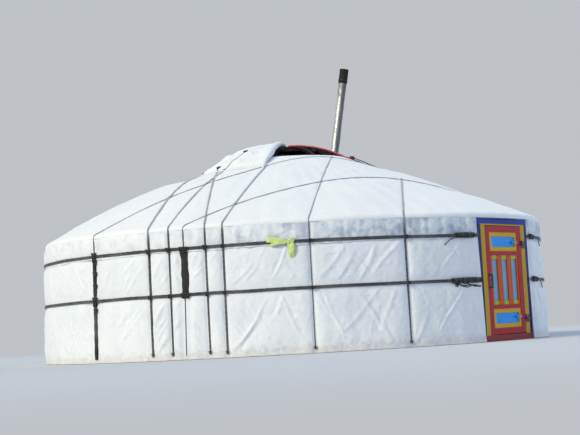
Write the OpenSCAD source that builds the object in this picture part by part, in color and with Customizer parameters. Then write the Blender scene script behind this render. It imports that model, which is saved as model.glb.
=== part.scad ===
// Round felt tent on a trellis wall, real size, millimetres, Z up.
// The origin is at the middle of the ground circle. The doorway looks towards -Y.

/* [Overall] */

// Outer radius of the wall canvas at the ground
wall_r = 3080; // [2950:5:3200]
// How much narrower the wall canvas is at its top edge, in radius
wall_lean = 32; // [16:1:60]
// Height of the top edge of the wall canvas
wall_top = 1372; // [1340:1:1380]
// Slope of the roof in degrees
roof_slope = 22; // [21:0.1:23]

/* [Trellis wall] */

// Number of trellis sections round the wall
section_count = 5; // [5:1:5]
// Flat runs in one trellis section
run_count = 6; // [5:1:7]
// Diamonds side by side in one flat run
run_diamonds = 2; // [1:1:3]
// Half rows of diamonds from the lowest to the highest crossing
half_rows = 6; // [4:2:8]
// Width of one lath
lath_w = 34; // [26:1:40]
// Thickness of one lath
lath_t = 12; // [9:0.5:14]
// Depth by which two laths are let into each other where they cross
lath_lap = 2; // [1:0.5:4]
// Gap between the trellis and the wall felt round it
trellis_gap = 2; // [1:0.5:5]
// Height of the lath ends over the ground
lath_foot = 4; // [2:1:20]
// Length of a lath end past its last crossing, measured upwards
lath_tip = 58; // [52:1:62]
// Clearance between a pole and the two lath ends that it lies between
fork_gap = 0.6; // [0.4:0.1:2]
// How far the crossings stand beside the corners between two runs
cross_side = 6; // [5:0.5:9]

/* [Roof poles] */

// Radius of a pole at the wall
pole_r_low = 19; // [16:0.5:21]
// Radius of a pole at the crown
pole_r_high = 16; // [13:0.5:18]
// Side of the square tenon at the upper end of a pole
tenon_side = 22; // [16:0.5:24]
// Length of the tenon
tenon_len = 48; // [35:1:58]
// Clearance round a tenon in its socket
tenon_gap = 0.6; // [0.4:0.1:1.5]
// Clearance between a pole and its groove in the door head
groove_gap = 0.4; // [0.3:0.1:1]
// Gap between the low end of a pole and the wall felt
pole_gap = 1; // [0.5:0.5:5]
// Gap between the high end of a pole and the crown ring
crown_seat = 0.6; // [0.4:0.1:2]
// Number of poles that stand on the door head
head_poles = 3; // [3:1:3]

/* [Crown] */

// Outer radius of the crown ring
crown_r = 768; // [740:1:800]
// Width of the crown ring
crown_w = 78; // [60:1:90]
// Height of the crown ring
crown_h = 100; // [80:1:110]
// Gap between the top of the crown ring and the roof canvas over it
crown_gap = 0.6; // [0.4:0.1:3]
// Number of arched ribs in the crown
rib_count = 8; // [8:1:8]
// Width of a rib
rib_w = 40; // [30:1:50]
// Depth of a rib
rib_t = 38; // [28:1:44]
// Rise of the ribs over the ring at the middle of the crown
rib_rise = 205; // [150:1:230]
// Middle radius of the hoop that ties the ribs
hoop_r = 385; // [320:1:430]
// Width of the hoop
hoop_w = 40; // [30:1:50]
// Radius of the boss at the middle of the crown
boss_r = 118; // [90:1:150]
// Thickness of the boss
boss_h = 62; // [50:1:80]

/* [Posts] */

// Side of a crown post
post_side = 76; // [60:1:100]
// Length of the bracket on top of a post
bracket_l = 430; // [300:1:520]
// Height of the bracket
bracket_h = 150; // [100:1:180]
// Side of the foot block of a post
foot_side = 130; // [100:1:170]

/* [Covers] */

// Thickness of the wall felt at its top edge
felt_wall_t = 38; // [30:1:40]
// Thickness of the roof felt
felt_roof_t = 38; // [30:1:40]
// Thickness of the outer canvas
canvas_t = 3; // [2:0.5:5]
// Gap between felt and canvas
cover_gap = 0.5; // [0.4:0.1:2]
// Height of the lower edge of the roof canvas skirt
skirt_z = 1172; // [1120:1:1220]
// Height of the roof felt over the wall felt at its rim
felt_rest = 6; // [4:0.5:12]
// Radius of the crown flap
flap_r = 1130; // [1050:5:1250]
// Thickness of the crown flap
flap_t = 8; // [5:0.5:14]
// Thickness of the heap that the turned back part of the flap makes
fold_t = 84; // [30:1:110]
// Direction at which the turned back part ends, degrees counted from +X
fold_end = 112; // [100:1:140]
// Height of the flap over the middle of the crown
flap_rest = 4; // [2:0.5:10]
// How much more the flap stands off at the rim of the crown
flap_belly = 22; // [10:1:30]
// First edge of the open side of the flap, degrees counted from +X
flap_open_a = 203; // [195:1:215]
// Second edge of the open side of the flap, degrees counted from +X
flap_open_b = 297; // [285:1:303]

/* [Ropes] */

// Thickness of the roof ropes
rope_t = 10; // [7:0.5:14]
// Distance of the first long rope from the tent axis
long_a = 830; // [800:5:900]
// Distance of the second long rope from the tent axis
long_b = 1740; // [1600:5:1900]
// Slant of the first long rope in plan
slant_a = 26; // [22:0.5:29]
// Slant of the second long rope in plan
slant_b = 31; // [28:0.5:33]
// Directions in which the short ropes come down the wall, degrees counted from +X
tied_dirs = [203.5, 220, 238.5];
// Places where the short ropes are tied, along the long ropes
tied_ways = [-730, 170, 455];
// Directions in which the flap ropes come down the wall, degrees counted from +X
flap_rope_low = [188.5, 192.5, 201, 9.5, 30.5, 346];
// Directions in which the flap ropes leave the flap, degrees counted from +X
flap_rope_high = [127, 172, 164.5, 328.5, 26.5, 331];
// How far the flap ropes run on under the rim of the flap
flap_rope_in = 60; // [40:5:90]
// Height of the lower ends of the roof ropes
rope_low_z = 30; // [10:5:120]
// Radius of the girdle ropes
girdle_r = 9; // [7:0.5:12]
// Number of turns that a girdle lies in, one over the other
girdle_turns = 2; // [1:1:3]
// Height of the upper girdle
girdle_up_z = 1185; // [1178:1:1230]
// Height of the lower girdle
girdle_low_z = 690; // [600:1:760]
// Width of the broad strap on the wall
strap_w = 66; // [50:1:80]
// Thickness of the broad strap
strap_t = 6; // [4:0.5:8]
// Direction of the ribbon on the upper girdle, degrees counted from +X
ribbon_dir = 216; // [205:0.5:226]
// Width of the ribbon
ribbon_w = 44; // [30:1:60]
// Thickness of the folded ribbon
ribbon_t = 4; // [2:0.5:8]
// Length of the hanging ribbon end
ribbon_l = 150; // [90:5:220]

/* [Doorway] */

// Width of the door frame over both jambs
frame_w = 1100; // [1080:1:1110]
// How far the door head stands above the wall canvas
head_rise = 4; // [0:1:8]
// Depth of the door frame
frame_d = 100; // [80:1:120]
// How far the outer frame face stands behind the eaves
frame_set = 33; // [28:1:43]
// Gap between the door frame and the trellis beside it
side_gap = 36; // [34:1:45]
// Width of a jamb
jamb_w = 56; // [50:1:62]
// Height of the door head
lintel_h = 60; // [50:1:80]
// Height of the sill
sill_h = 70; // [50:1:90]
// Width of the trim boards beside the door leaf
trim_w = 90; // [70:1:110]
// Height of the trim strip over the door leaf
trim_h = 16; // [12:1:30]
// Depth of the trim
trim_d = 60; // [50:1:80]
// Clearance round the door leaf
leaf_gap = 6; // [5:0.5:8]
// Thickness of the door leaf
leaf_t = 40; // [34:1:46]
// Width of the upright rails of the leaf
stile_w = 88; // [60:1:100]
// Height of the top and bottom rail of the leaf
end_rail_h = 70; // [55:1:85]
// Height of the two middle rails of the leaf
mid_rail_h = 46; // [36:1:56]
// Height of the field that holds the short panel
panel_field_h = 215; // [180:1:240]
// Width of the moulding round a short panel
moulding_w = 48; // [30:1:56]
// Number of upright boards in the middle field
board_count = 3; // [3:1:3]
// Width of the bars between the boards
bar_w = 105; // [80:1:115]
// Width of the bars beside the outer boards
side_bar_w = 38; // [24:1:50]
// Height of the caps over and under the boards
cap_h = 42; // [26:1:52]

/* [Hinges and handle] */

// Distance of the hinge pin in front of the frame face
pin_y = 14; // [13:0.5:18]
// Radius of the hinge pin
pin_r = 6; // [5:0.5:8]
// Radial clearance between pin and eye
pin_gap = 0.6; // [0.4:0.1:1]
// Outer radius of a hinge eye
eye_r = 11.5; // [10:0.5:12]
// Height of a hinge eye
eye_h = 34; // [26:1:44]
// Length of a hinge strap on the leaf
strap_l = 210; // [120:1:300]
// Height of the door handle grip
grip_h = 150; // [110:1:190]

/* [Stove pipe] */

// Outer radius of the stove pipe
pipe_r = 50; // [44:1:54]
// Wall thickness of the stove pipe
pipe_t = 2; // [1.5:0.5:3]
// Lean of the pipe in degrees
pipe_lean = 10; // [4:0.5:11]
// Direction of the pipe from the tent axis, degrees counted from +X
pipe_dir = 315; // [313:1:317]
// Gap between the pipe and the crown ring
pipe_side = 38; // [32:1:45]
// Height of the lower end of the pipe
pipe_low_z = 520; // [450:5:700]
// Height of the joint between the two lengths of pipe over the crown ring
pipe_joint_up = 281; // [260:1:360]
// Height of the top of the pipe over the crown ring
pipe_top_up = 1161; // [960:1:1260]
// Thickness of the sheet that closes the crown round the pipe
plate_t = 3; // [2:0.5:5]
// Length of the sleeve at the pipe top
cap_l = 165; // [120:5:220]

/* [Output] */

// Which sub-part is drawn

/* [Hidden] */
$fn = 48;
ring_fn = 360;
tan_s = tan(roof_slope);
cos_s = cos(roof_slope);
sin_s = sin(roof_slope);

// Wall canvas surfaces as functions of height
function canvas_out(z) = wall_r - wall_lean * z / wall_top;
function canvas_in(z) = canvas_out(z) - canvas_t;
function felt_out(z) = canvas_in(z) - cover_gap;
felt_in = felt_out(wall_top) - felt_wall_t;

// Roof cone: outer face of the roof canvas as a function of the radius
felt_top_d = canvas_t + cover_gap;
felt_low_d = felt_top_d + felt_roof_t;
eave_r = canvas_out(wall_top) + cover_gap + canvas_t;
eave_z = wall_top + felt_rest + felt_low_d / cos_s - (eave_r - felt_out(wall_top)) * tan_s;
function roof_z(r) = eave_z + (eave_r - r) * tan_s;
function under(r, depth) = roof_z(r) - depth / cos_s;
pole_axis_d = felt_low_d + 1 + pole_r_low;

// Trellis between the sides of the door frame
frame_h = wall_top + head_rise;
frame_y = canvas_out(wall_top) - frame_set;
door_half = asin((frame_w / 2 + side_gap) / frame_y);
deg_run = (360 - 2 * door_half) / (section_count * run_count);
half_run = deg_run / 2;
section_deg = deg_run * run_count;
pole_count = section_count * run_count * run_diamonds + 1;
pole_step = deg_run / run_diamonds;
trellis_t = 2 * lath_t - lath_lap;
trellis_in = (felt_in - trellis_gap) * cos(half_run) - trellis_t;
mid_plane = trellis_in + lath_t - lath_lap / 2;
run_w = 2 * mid_plane * tan(half_run);
pitch = run_w / run_diamonds;

// Seats of the poles on the trellis
corner_r = mid_plane / cos(half_run);
seat_z = under(corner_r, pole_axis_d);
cross_low = lath_foot + lath_tip;
// A pole lies in the fork of two lath ends: how far its middle stays over them
fork_a = atan2(2 * (seat_z - lath_tip - cross_low) / half_rows, pitch);
tip_drop = pole_r_low * norm([tan(fork_a), 1 / cos_s]) - lath_tip + lath_w / 2 / cos(fork_a)
  + trellis_t / 2 * tan_s + fork_gap;
cross_high = seat_z - lath_tip - tip_drop;
row_h = (cross_high - cross_low) / half_rows;
lath_a = atan2(2 * row_h, pitch);
crown_in = crown_r - crown_w;
crown_top = under(crown_r, canvas_t) - crown_gap;
crown_z = crown_top - crown_h;
post_x = crown_r - crown_w / 2;
pole_top_r = crown_r + pole_r_high * sin_s + crown_seat;
pole_top_z = under(pole_top_r, felt_low_d + 1 + pole_r_high);

// Crown dome
rib_z0 = crown_top;
dome_r = (pow(crown_in + crown_w / 2, 2) + pow(rib_rise, 2)) / (2 * rib_rise);
dome_zc = rib_z0 + rib_rise - dome_r;
function dome_z(r) = dome_zc + sqrt(dome_r * dome_r - r * r);

// Doorway
leaf_x = frame_w / 2 - jamb_w - trim_w - leaf_gap;
leaf_z0 = sill_h + leaf_gap;
leaf_z1 = frame_h - lintel_h - trim_h - leaf_gap;
leaf_h = leaf_z1 - leaf_z0;
field_w = 2 * leaf_x - 2 * stile_w;
board_field_h = leaf_h - 2 * end_rail_h - 2 * mid_rail_h - 2 * panel_field_h;
bottom_field_z = leaf_z0 + end_rail_h;
board_field_z = bottom_field_z + panel_field_h + mid_rail_h;
top_field_z = board_field_z + board_field_h + mid_rail_h;
pin_x = leaf_x + leaf_gap / 2;
hinge_z = [leaf_z0 + 170, leaf_z1 - 200];

// Stove pipe
pipe_off = crown_in - pipe_side - pipe_r;
pipe_ref_z = crown_top + 60;
pipe_joint_z = crown_top + pipe_joint_up;
pipe_top_z = crown_top + pipe_top_up;

// Colours
c_wood = [0.78, 0.36, 0.16];
c_lath = [0.55, 0.30, 0.15];
c_felt = [0.86, 0.84, 0.78];
c_canvas = [0.95, 0.95, 0.96];
c_rope = [0.16, 0.15, 0.16];
c_navy = [0.08, 0.12, 0.33];
c_gold = [0.86, 0.62, 0.16];
c_red = [0.66, 0.08, 0.12];
c_blue = [0.12, 0.36, 0.70];
c_sky = [0.62, 0.78, 0.88];
c_orange = [0.85, 0.38, 0.12];
c_iron = [0.30, 0.30, 0.32];
c_zinc = [0.70, 0.72, 0.74];
c_soot = [0.08, 0.08, 0.08];
c_lime = [0.66, 0.78, 0.32];

// Direction of run number k, measured from the middle of the doorway
function run_dir(k) = -90 + door_half + half_run + k * deg_run;
function pole_dir(j) = -90 + door_half + j * pole_step + atan2(cross_side, mid_plane);

// Ring sector between two directions, made of one turned profile
module turned(a0, a1) {
  rotate([0, 0, a0])
    rotate_extrude(angle = a1 - a0, $fn = ring_fn)
      children();
}

// Crown

module crown_ring() {
  color(c_wood)
    difference() {
      rotate_extrude($fn = ring_fn)
        translate([crown_in, crown_z])
          square([crown_w, crown_h]);
      for (j = [0 : pole_count + head_poles - 1])
        pole_frame(j)
          translate([0, 0, pole_len(j)])
            socket();
    }
}

// Pole directions run on over the door head after the last trellis pole
function any_dir(j) = j < pole_count
  ? pole_dir(j)
  : -90 - door_half + (j - pole_count + 1) * (2 * door_half / (head_poles + 1));
// Mid-run poles meet the flat trellis a little further in than corner poles
function seat_r(j) = j < pole_count
  ? ((j % run_diamonds) == 0 ? corner_r : mid_plane)
  : frame_y - frame_d / 2;
function seat_h(j) = j < pole_count ? seat_z : under(frame_y - frame_d / 2, pole_axis_d);
function pole_tilt(j) = atan2(pole_top_z - seat_h(j), seat_r(j) - pole_top_r);
function tail(j) = j < pole_count
  ? (felt_in - pole_gap - pole_r_low * sin_s - seat_r(j)) / cos_s
  : 30;
function pole_len(j) = norm([seat_r(j) - pole_top_r, pole_top_z - seat_h(j)]) + tail(j);

// Places a pole: +Z of the child runs from the wall end up to the crown
module pole_frame(j) {
  rotate([0, 0, any_dir(j)])
    translate([seat_r(j), 0, seat_h(j)])
      rotate([0, pole_tilt(j) - 90, 0])
        translate([0, 0, -tail(j)])
          children();
}

module socket() {
  side = tenon_side + 2 * tenon_gap;
  translate([-side / 2, -side / 2, -10])
    cube([side, side, tenon_len + 12]);
}

module pole(j) {
  pole_frame(j) {
    cylinder(h = pole_len(j), r1 = pole_r_low, r2 = pole_r_high, $fn = 24);
    translate([-tenon_side / 2, -tenon_side / 2, pole_len(j) - 1])
      cube([tenon_side, tenon_side, tenon_len + 1]);
  }
}

module roof_poles(first, last) {
  color(c_wood)
    for (j = [first : last])
      pole(j);
}

module rib_arc() {
  // one arch in the plane of x and z, from the boss down to the ring
  rotate([90, 0, 0])
    translate([0, 0, -rib_w / 2])
      linear_extrude(rib_w)
        intersection() {
          translate([0, dome_zc])
            difference() {
              circle(r = dome_r, $fn = 720);
              circle(r = dome_r - rib_t, $fn = 720);
            }
          translate([boss_r + 0.3, crown_top])
            square([crown_r - 24 - boss_r, 400]);
        }
}

module crown_ribs() {
  color(c_wood)
    for (i = [0 : rib_count - 1])
      rotate([0, 0, 360 / rib_count * (i + 0.5)])
        rib_arc();
}

module crown_hoop() {
  color(c_wood)
    difference() {
      rotate_extrude($fn = ring_fn)
        translate([hoop_r - hoop_w / 2, dome_z(hoop_r) - rib_t - 2])
          square([hoop_w, rib_t - 4]);
      for (i = [0 : rib_count - 1])
        rotate([0, 0, 360 / rib_count * (i + 0.5)])
          translate([hoop_r - hoop_w, -rib_w / 2, 0])
            cube([2 * hoop_w, rib_w, 4000]);
    }
}

module crown_boss() {
  top = dome_zc + dome_r;
  color(c_wood)
    rotate_extrude($fn = ring_fn)
      polygon([
        [0, top - boss_h], [boss_r * 0.6, top - boss_h], [boss_r - 0.2, top - boss_h + 14],
        [boss_r - 0.2, top - 12], [boss_r * 0.7, top - 2], [0, top]
      ]);
}

// Posts

module post(side) {
  top = crown_z;
  color(c_wood)
    translate([side * post_x, 0, 0]) {
      translate([-foot_side / 2, -foot_side / 2, 0])
        cube([foot_side, foot_side, 60]);
      translate([-post_side / 2, -post_side / 2, 59])
        cube([post_side, post_side, top - bracket_h - 58]);
      translate([-post_side / 2, 0, top - bracket_h])
        rotate([90, 0, 90])
          linear_extrude(post_side)
            for (turn = [0, 1])
              mirror([turn, 0])
                polygon([
                  [-1, 0], [post_side / 2, 0], [post_side / 2 + 24, 60], [bracket_l / 2 - 40, bracket_h - 60],
                  [bracket_l / 2, bracket_h - 50], [bracket_l / 2, bracket_h], [-1, bracket_h]
                ]);
    }
}

module post_left() {
  post(-1);
}

module post_right() {
  post(1);
}

// Trellis

// One family of slanting laths in a run, as a flat outline
module lath_family(sense, over) {
  tip = lath_tip;
  z0 = cross_low - tip;
  z1 = cross_high + tip;
  reach = (z1 - z0) / tan(lath_a);
  intersection() {
    translate([-run_w / 2 - over, z0])
      square([run_w + 2 * over, z1 - z0]);
    union()
      for (i = [-half_rows : half_rows + run_diamonds])
        translate([-run_w / 2 + i * pitch + cross_side, cross_low])
          rotate(sense > 0 ? lath_a : 180 - lath_a)
            translate([-2500, -lath_w / 2])
              square([5000, lath_w]);
  }
}

module trellis_run(k) {
  over = trellis_t * tan(half_run) + 1;
  rotate([0, 0, run_dir(k)])
    translate([trellis_in, 0, 0])
      rotate([90, 0, 90]) {
        linear_extrude(lath_t)
          lath_family(1, over);
        translate([0, 0, lath_t - lath_lap])
          linear_extrude(lath_t)
            lath_family(-1, over);
      }
}

// Wedge that keeps a section between its two end directions
module wedge(a0, a1, h) {
  rim = 1.4 * wall_r;
  linear_extrude(h)
    polygon(concat([[0, 0]], [for (i = [0 : 4]) plan(rim, a0 + (a1 - a0) * i / 4)]));
}

module trellis(s) {
  a0 = -90 + door_half + s * section_deg;
  a1 = a0 + section_deg;
  color(c_lath)
    intersection() {
      union()
        for (k = [s * run_count : (s + 1) * run_count - 1])
          trellis_run(k);
      wedge(a0 + 0.01, a1 - 0.01, 1600);
    }
}

// Felt

module wall_felt(s) {
  a0 = -90 + door_half + s * section_deg;
  a1 = a0 + section_deg;
  color(c_felt)
    difference() {
      turned(s == 0 ? a0 - 2 : a0, s == section_count - 1 ? a1 + 2 : a1)
        polygon([
          [felt_in, 0], [felt_out(0), 0], [felt_out(wall_top - 2), wall_top - 2], [felt_in, wall_top - 2]
        ]);
      doorway_box(0.5, 3000);
    }
}

// Box as wide as the door frame plus a gap on each side
module doorway_box(gap, high) {
  translate([-frame_w / 2 - gap, -4000, -1])
    cube([frame_w + 2 * gap, 4000, high]);
}

module roof_felt_shape() {
  r0 = crown_r + 6;
  r1 = felt_out(wall_top);
  polygon([
    [r0, under(r0, felt_low_d)], [r1, under(r1, felt_low_d)],
    [r1, under(r1, felt_top_d)], [r0, under(r0, felt_top_d)]
  ]);
}

module roof_felt_front() {
  color(c_felt)
    turned(180, 360)
      roof_felt_shape();
}

module roof_felt_back() {
  color(c_felt)
    turned(0, 180)
      roof_felt_shape();
}

// Canvas

module wall_canvas() {
  color(c_canvas)
    difference() {
      rotate_extrude($fn = ring_fn)
        polygon([
          [canvas_in(0), 0], [canvas_out(0), 0],
          [canvas_out(wall_top), wall_top], [canvas_in(wall_top), wall_top]
        ]);
      doorway_box(0.5, 3000);
    }
}

module roof_canvas() {
  r0 = crown_r - 30;
  color(c_canvas)
    difference() {
      rotate_extrude($fn = ring_fn)
        polygon([
          [r0, under(r0, canvas_t)], [eave_r - canvas_t, under(eave_r - canvas_t, canvas_t)],
          [skirt_out(skirt_z) - canvas_t, skirt_z], [skirt_out(skirt_z), skirt_z],
          [eave_r, eave_z], [r0, roof_z(r0)]
        ]);
      doorway_box(0.5, frame_h + 2.5);
    }
}

// Underside of the flap: over the roof ropes, up over the ring and across the ribs
flap_g = (rope_t + 0.4) / cos_s + 0.4;
ring_mid = crown_in + crown_w / 2;
flap_knee = crown_r + 30;
function on_dome(r) = dome_z(r) + flap_rest + flap_belly * r / ring_mid;
function on_roof(r) = roof_z(r) + flap_g;
function flap_low(r) = r > flap_knee ? on_roof(r)
  : r < ring_mid ? on_dome(r)
  : on_dome(ring_mid) + (on_roof(flap_knee) - on_dome(ring_mid)) * (r - ring_mid) / (flap_knee - ring_mid);
flap_rs = concat([flap_r, flap_knee], [for (i = [0 : 6]) ring_mid * (1 - i / 6)]);

module flap_shape() {
  low = [for (r = flap_rs) [r, flap_low(r)]];
  high = [for (i = [0 : len(low) - 1]) let (p = low[len(low) - 1 - i]) [p[0], p[1] + flap_t]];
  polygon(concat(low, high));
}

// The turned back part lies on the flap, thick at the knee and thinner towards both of its edges
fold_rim = flap_r - 30;
function fold_h(r) = fold_t * (r > flap_knee ? 0.5 : 0.2 + 0.8 * r / flap_knee);

module fold_shape() {
  rs = concat([fold_rim], [for (r = flap_rs) if (r > 0 && r < fold_rim) r]);
  low = [for (r = rs) [r, flap_low(r) + flap_t + cover_gap]];
  high = [for (i = [0 : len(rs) - 1]) let (p = low[len(rs) - 1 - i]) [p[0], p[1] + fold_h(p[0])]];
  polygon(concat(low, high));
}

module crown_flap() {
  color(c_canvas)
    difference() {
      turned(flap_open_b, flap_open_a + 360)
        flap_shape();
      pipe_axis()
        cylinder(h = 2 * crown_r, r = pipe_r + 22, center = true, $fn = 48);
    }
}

module flap_fold() {
  color(c_canvas)
    turned(fold_end, flap_open_a - 1)
      fold_shape();
}

// Ropes

// Outer face of the skirt of the roof canvas, which hangs over the wall canvas
function skirt_out(z) = canvas_out(z) + cover_gap + canvas_t;

// Turned skin that lies on the outside of the covers, from inner offset a to outer offset b.
// On the roof it is raised by lift, so that it passes over other ropes.
module rope_skin(a, b, lift, low) {
  r0 = crown_r - 20;
  r1 = eave_r - 170;
  r2 = eave_r - 60;
  rotate_extrude($fn = ring_fn)
    polygon([
      [r0, roof_z(r0) + (a + lift) / cos_s], [r1, roof_z(r1) + (a + lift) / cos_s], [r2, roof_z(r2) + a / cos_s],
      [eave_r + a * 0.7, roof_z(eave_r + a * 0.7) + a / cos_s], [eave_r + a, eave_z],
      [skirt_out(skirt_z) + a, skirt_z], [skirt_out(low) + a, low],
      [skirt_out(low) + b, low], [skirt_out(skirt_z) + b, skirt_z],
      [eave_r + b, eave_z], [eave_r + b * 0.7, roof_z(eave_r + b * 0.7) + b / cos_s],
      [r2, roof_z(r2) + b / cos_s], [r1, roof_z(r1) + (b + lift) / cos_s], [r0, roof_z(r0) + (b + lift) / cos_s]
    ]);
}

// Upright slab over a line in plan, from point p to point q, as wide as a rope
module slab(p, q, w) {
  d = q - p;
  translate([p[0], p[1], 0])
    rotate([0, 0, atan2(d[1], d[0])])
      translate([0, -w / 2, 0])
        cube([norm(d), w, 3000]);
}

// Plan directions as seen from the front left: u runs to the right, v runs away
view_dir = -50.5;
function uv(u, v) = [
  u * cos(view_dir) - v * sin(view_dir),
  u * sin(view_dir) + v * cos(view_dir)
];

// Long ropes cross the roof beside the crown: a point on one, at slant g, distance d and way t
function long_pt(g, d, t) = uv(d * sin(g) + t * cos(g), t * sin(g) - d * cos(g));
reach = wall_r + 220;
function plan(r, a) = [r * cos(a), r * sin(a)];
// Direction in which a long rope comes down the wall at its left end
rope_round = skirt_out(girdle_up_z) + 0.4 + rope_t / 2;
function left_end(g, d) = long_pt(g, d, -sqrt(rope_round * rope_round - d * d));
strap_at = left_end(slant_b, long_b);
strap_dir = atan2(strap_at[1], strap_at[0]);

near_lines = [
  [long_pt(slant_a, long_a, -reach), long_pt(slant_a, long_a, reach)],
  [long_pt(slant_b, long_b, -reach), long_pt(slant_b, long_b, reach)],
  [plan(reach, tied_dirs[0]), long_pt(slant_a, long_a, tied_ways[0])],
  [plan(reach, tied_dirs[1]), long_pt(slant_a, long_a, tied_ways[1])],
  [plan(reach, tied_dirs[2]), long_pt(slant_b, long_b, tied_ways[2])]
];
far_lines = [for (l = near_lines) [-l[0], -l[1]]];
flap_lines = [
  for (i = [0 : len(flap_rope_low) - 1])
    [plan(reach, flap_rope_low[i]), plan(flap_r - flap_rope_in, flap_rope_high[i])]
];

module rope_set(lines, lift, hole_r) {
  color(c_rope)
    difference() {
      intersection() {
        rope_skin(0.4, 0.4 + rope_t, lift, rope_low_z);
        union()
          for (l = lines)
            slab(l[0], l[1], rope_t);
      }
      cylinder(h = 4000, r = hole_r, $fn = ring_fn);
      doorway_box(8, frame_h + 12);
      // the broad strap takes the place of the rope between the girdles
      rotate([0, 0, strap_dir])
        translate([felt_in, -strap_w, 0])
          cube([wall_r - felt_in + 60, 2 * strap_w, girdle_up_z - girdle_half - 2]);
    }
}

module roof_ropes_near() {
  rope_set(near_lines, 0, crown_r - 19);
}

module roof_ropes_far() {
  rope_set(far_lines, 0, crown_r - 19);
}

module flap_ropes() {
  rope_set(flap_lines, rope_t + 0.6, flap_r + 0.3);
}

// Radius of the middle line of a girdle at a height
function girdle_at(z) = skirt_out(z) + 0.4 + rope_t + 0.3 + girdle_r;

// Distance between two turns of a girdle, and half the height of all its turns
girdle_step = 2 * girdle_r + 0.6;
girdle_half = girdle_step * (girdle_turns - 1) / 2 + girdle_r;

module girdle(z) {
  color(c_rope)
    for (k = [0 : girdle_turns - 1])
      let (turn_z = z + (k - (girdle_turns - 1) / 2) * girdle_step)
        difference() {
          rotate_extrude($fn = ring_fn)
            translate([girdle_at(turn_z), turn_z])
              circle(r = girdle_r, $fn = 24);
          doorway_box(3, 3000);
        }
}

module girdle_upper() {
  girdle(girdle_up_z);
}

module girdle_lower() {
  girdle(girdle_low_z);
}

module wall_strap() {
  z0 = girdle_low_z - 45;
  z1 = girdle_up_z - girdle_half - 4;
  color(c_rope)
    rotate([0, 0, strap_dir])
      intersection() {
        rotate_extrude($fn = ring_fn)
          polygon([
            [canvas_out(z0) + 0.4, z0], [canvas_out(z0) + 0.4 + strap_t, z0],
            [canvas_out(z1) + 0.4 + strap_t, z1], [canvas_out(z1) + 0.4, z1]
          ]);
        translate([felt_in, -strap_w / 2, 0])
          cube([wall_r - felt_in + 60, strap_w, wall_top]);
      }
}

module ribbon() {
  z = girdle_up_z;
  out = girdle_at(z) + girdle_r + 0.5;
  top = z + girdle_half + 0.3;
  color(c_lime)
    rotate([0, 0, ribbon_dir]) {
      translate([out, -ribbon_w / 2, z - ribbon_l])
        cube([ribbon_t, ribbon_w, top + ribbon_t - z + ribbon_l]);
      translate([out - girdle_r - 2, -ribbon_w / 2, top])
        cube([girdle_r + 3, ribbon_w, ribbon_t]);
      // the second end is a little thinner and blows sideways
      translate([out + ribbon_t / 8, 10, z - 30])
        rotate([30, 0, 0])
          cube([ribbon_t * 0.75, ribbon_l * 0.8, ribbon_w * 0.8]);
    }
}

// Doorway

module door_jamb(side) {
  x = side > 0 ? frame_w / 2 - jamb_w : -frame_w / 2;
  color(c_navy)
    translate([x, -frame_y, sill_h])
      cube([jamb_w, frame_d, frame_h - lintel_h - sill_h]);
}

module door_jamb_left() {
  door_jamb(-1);
}

module door_jamb_right() {
  door_jamb(1);
}

module door_lintel() {
  // the poles over the door lie in grooves of the door head
  color(c_navy)
    difference() {
      translate([-frame_w / 2, -frame_y, frame_h - lintel_h])
        cube([frame_w, frame_d, lintel_h]);
      for (j = [pole_count : pole_count + head_poles - 1])
        pole_frame(j)
          translate([0, 0, -3])
            cylinder(h = 260, r = pole_r_low + groove_gap, $fn = 48);
    }
}

module door_sill() {
  color(c_red)
    translate([-frame_w / 2, -frame_y, 0])
      cube([frame_w, frame_d, sill_h]);
}

module door_trim() {
  x = frame_w / 2 - jamb_w;
  h = frame_h - lintel_h - sill_h;
  color(c_gold)
    translate([0, -frame_y, sill_h])
      difference() {
        translate([-x, 0, 0])
          cube([2 * x, trim_d, h]);
        translate([trim_w - x, -1, -1])
          cube([2 * (x - trim_w), trim_d + 2, h - trim_h + 1]);
      }
}

module door_pintles() {
  color(c_iron)
    for (z = hinge_z)
      translate([0, -frame_y, z]) {
        translate([pin_x, -pin_y, -16])
          cylinder(h = 15, r = pin_r + 4, $fn = 32);
        translate([pin_x, -pin_y, -2])
          cylinder(h = eye_h + 8, r = pin_r, $fn = 32);
        translate([pin_x, -pin_y - 6, -16])
          cube([leaf_gap + trim_w - 10, pin_y + 2, 15]);
        translate([leaf_x + leaf_gap + 3, -4, -50])
          cube([trim_w - 10, 4, 84]);
      }
}

module leaf_frame() {
  color(c_red)
    translate([-leaf_x, -frame_y, leaf_z0])
      difference() {
        cube([2 * leaf_x, leaf_t, leaf_h]);
        for (f = [[bottom_field_z, panel_field_h], [board_field_z, board_field_h], [top_field_z, panel_field_h]])
          translate([stile_w, -1, f[0] - leaf_z0])
            cube([field_w, leaf_t + 2, f[1]]);
      }
}

module leaf_panels() {
  color(c_blue)
    for (z = [bottom_field_z, top_field_z])
      translate([-field_w / 2 + moulding_w, -frame_y + 14, z + moulding_w])
        cube([field_w - 2 * moulding_w, 14, panel_field_h - 2 * moulding_w]);
}

module leaf_mouldings() {
  color(c_gold)
    for (z = [bottom_field_z, top_field_z])
      translate([-field_w / 2, -frame_y + 5, z])
        difference() {
          cube([field_w, 30, panel_field_h]);
          translate([moulding_w, -1, moulding_w])
            cube([field_w - 2 * moulding_w, 32, panel_field_h - 2 * moulding_w]);
        }
}

board_w = (field_w - 2 * side_bar_w - (board_count - 1) * bar_w) / board_count;
function board_x(i) = -field_w / 2 + side_bar_w + i * (board_w + bar_w);

module leaf_boards() {
  color(c_sky)
    for (i = [0 : board_count - 1])
      translate([board_x(i), -frame_y + 16, board_field_z + cap_h])
        cube([board_w, 14, board_field_h - 2 * cap_h]);
}

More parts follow.
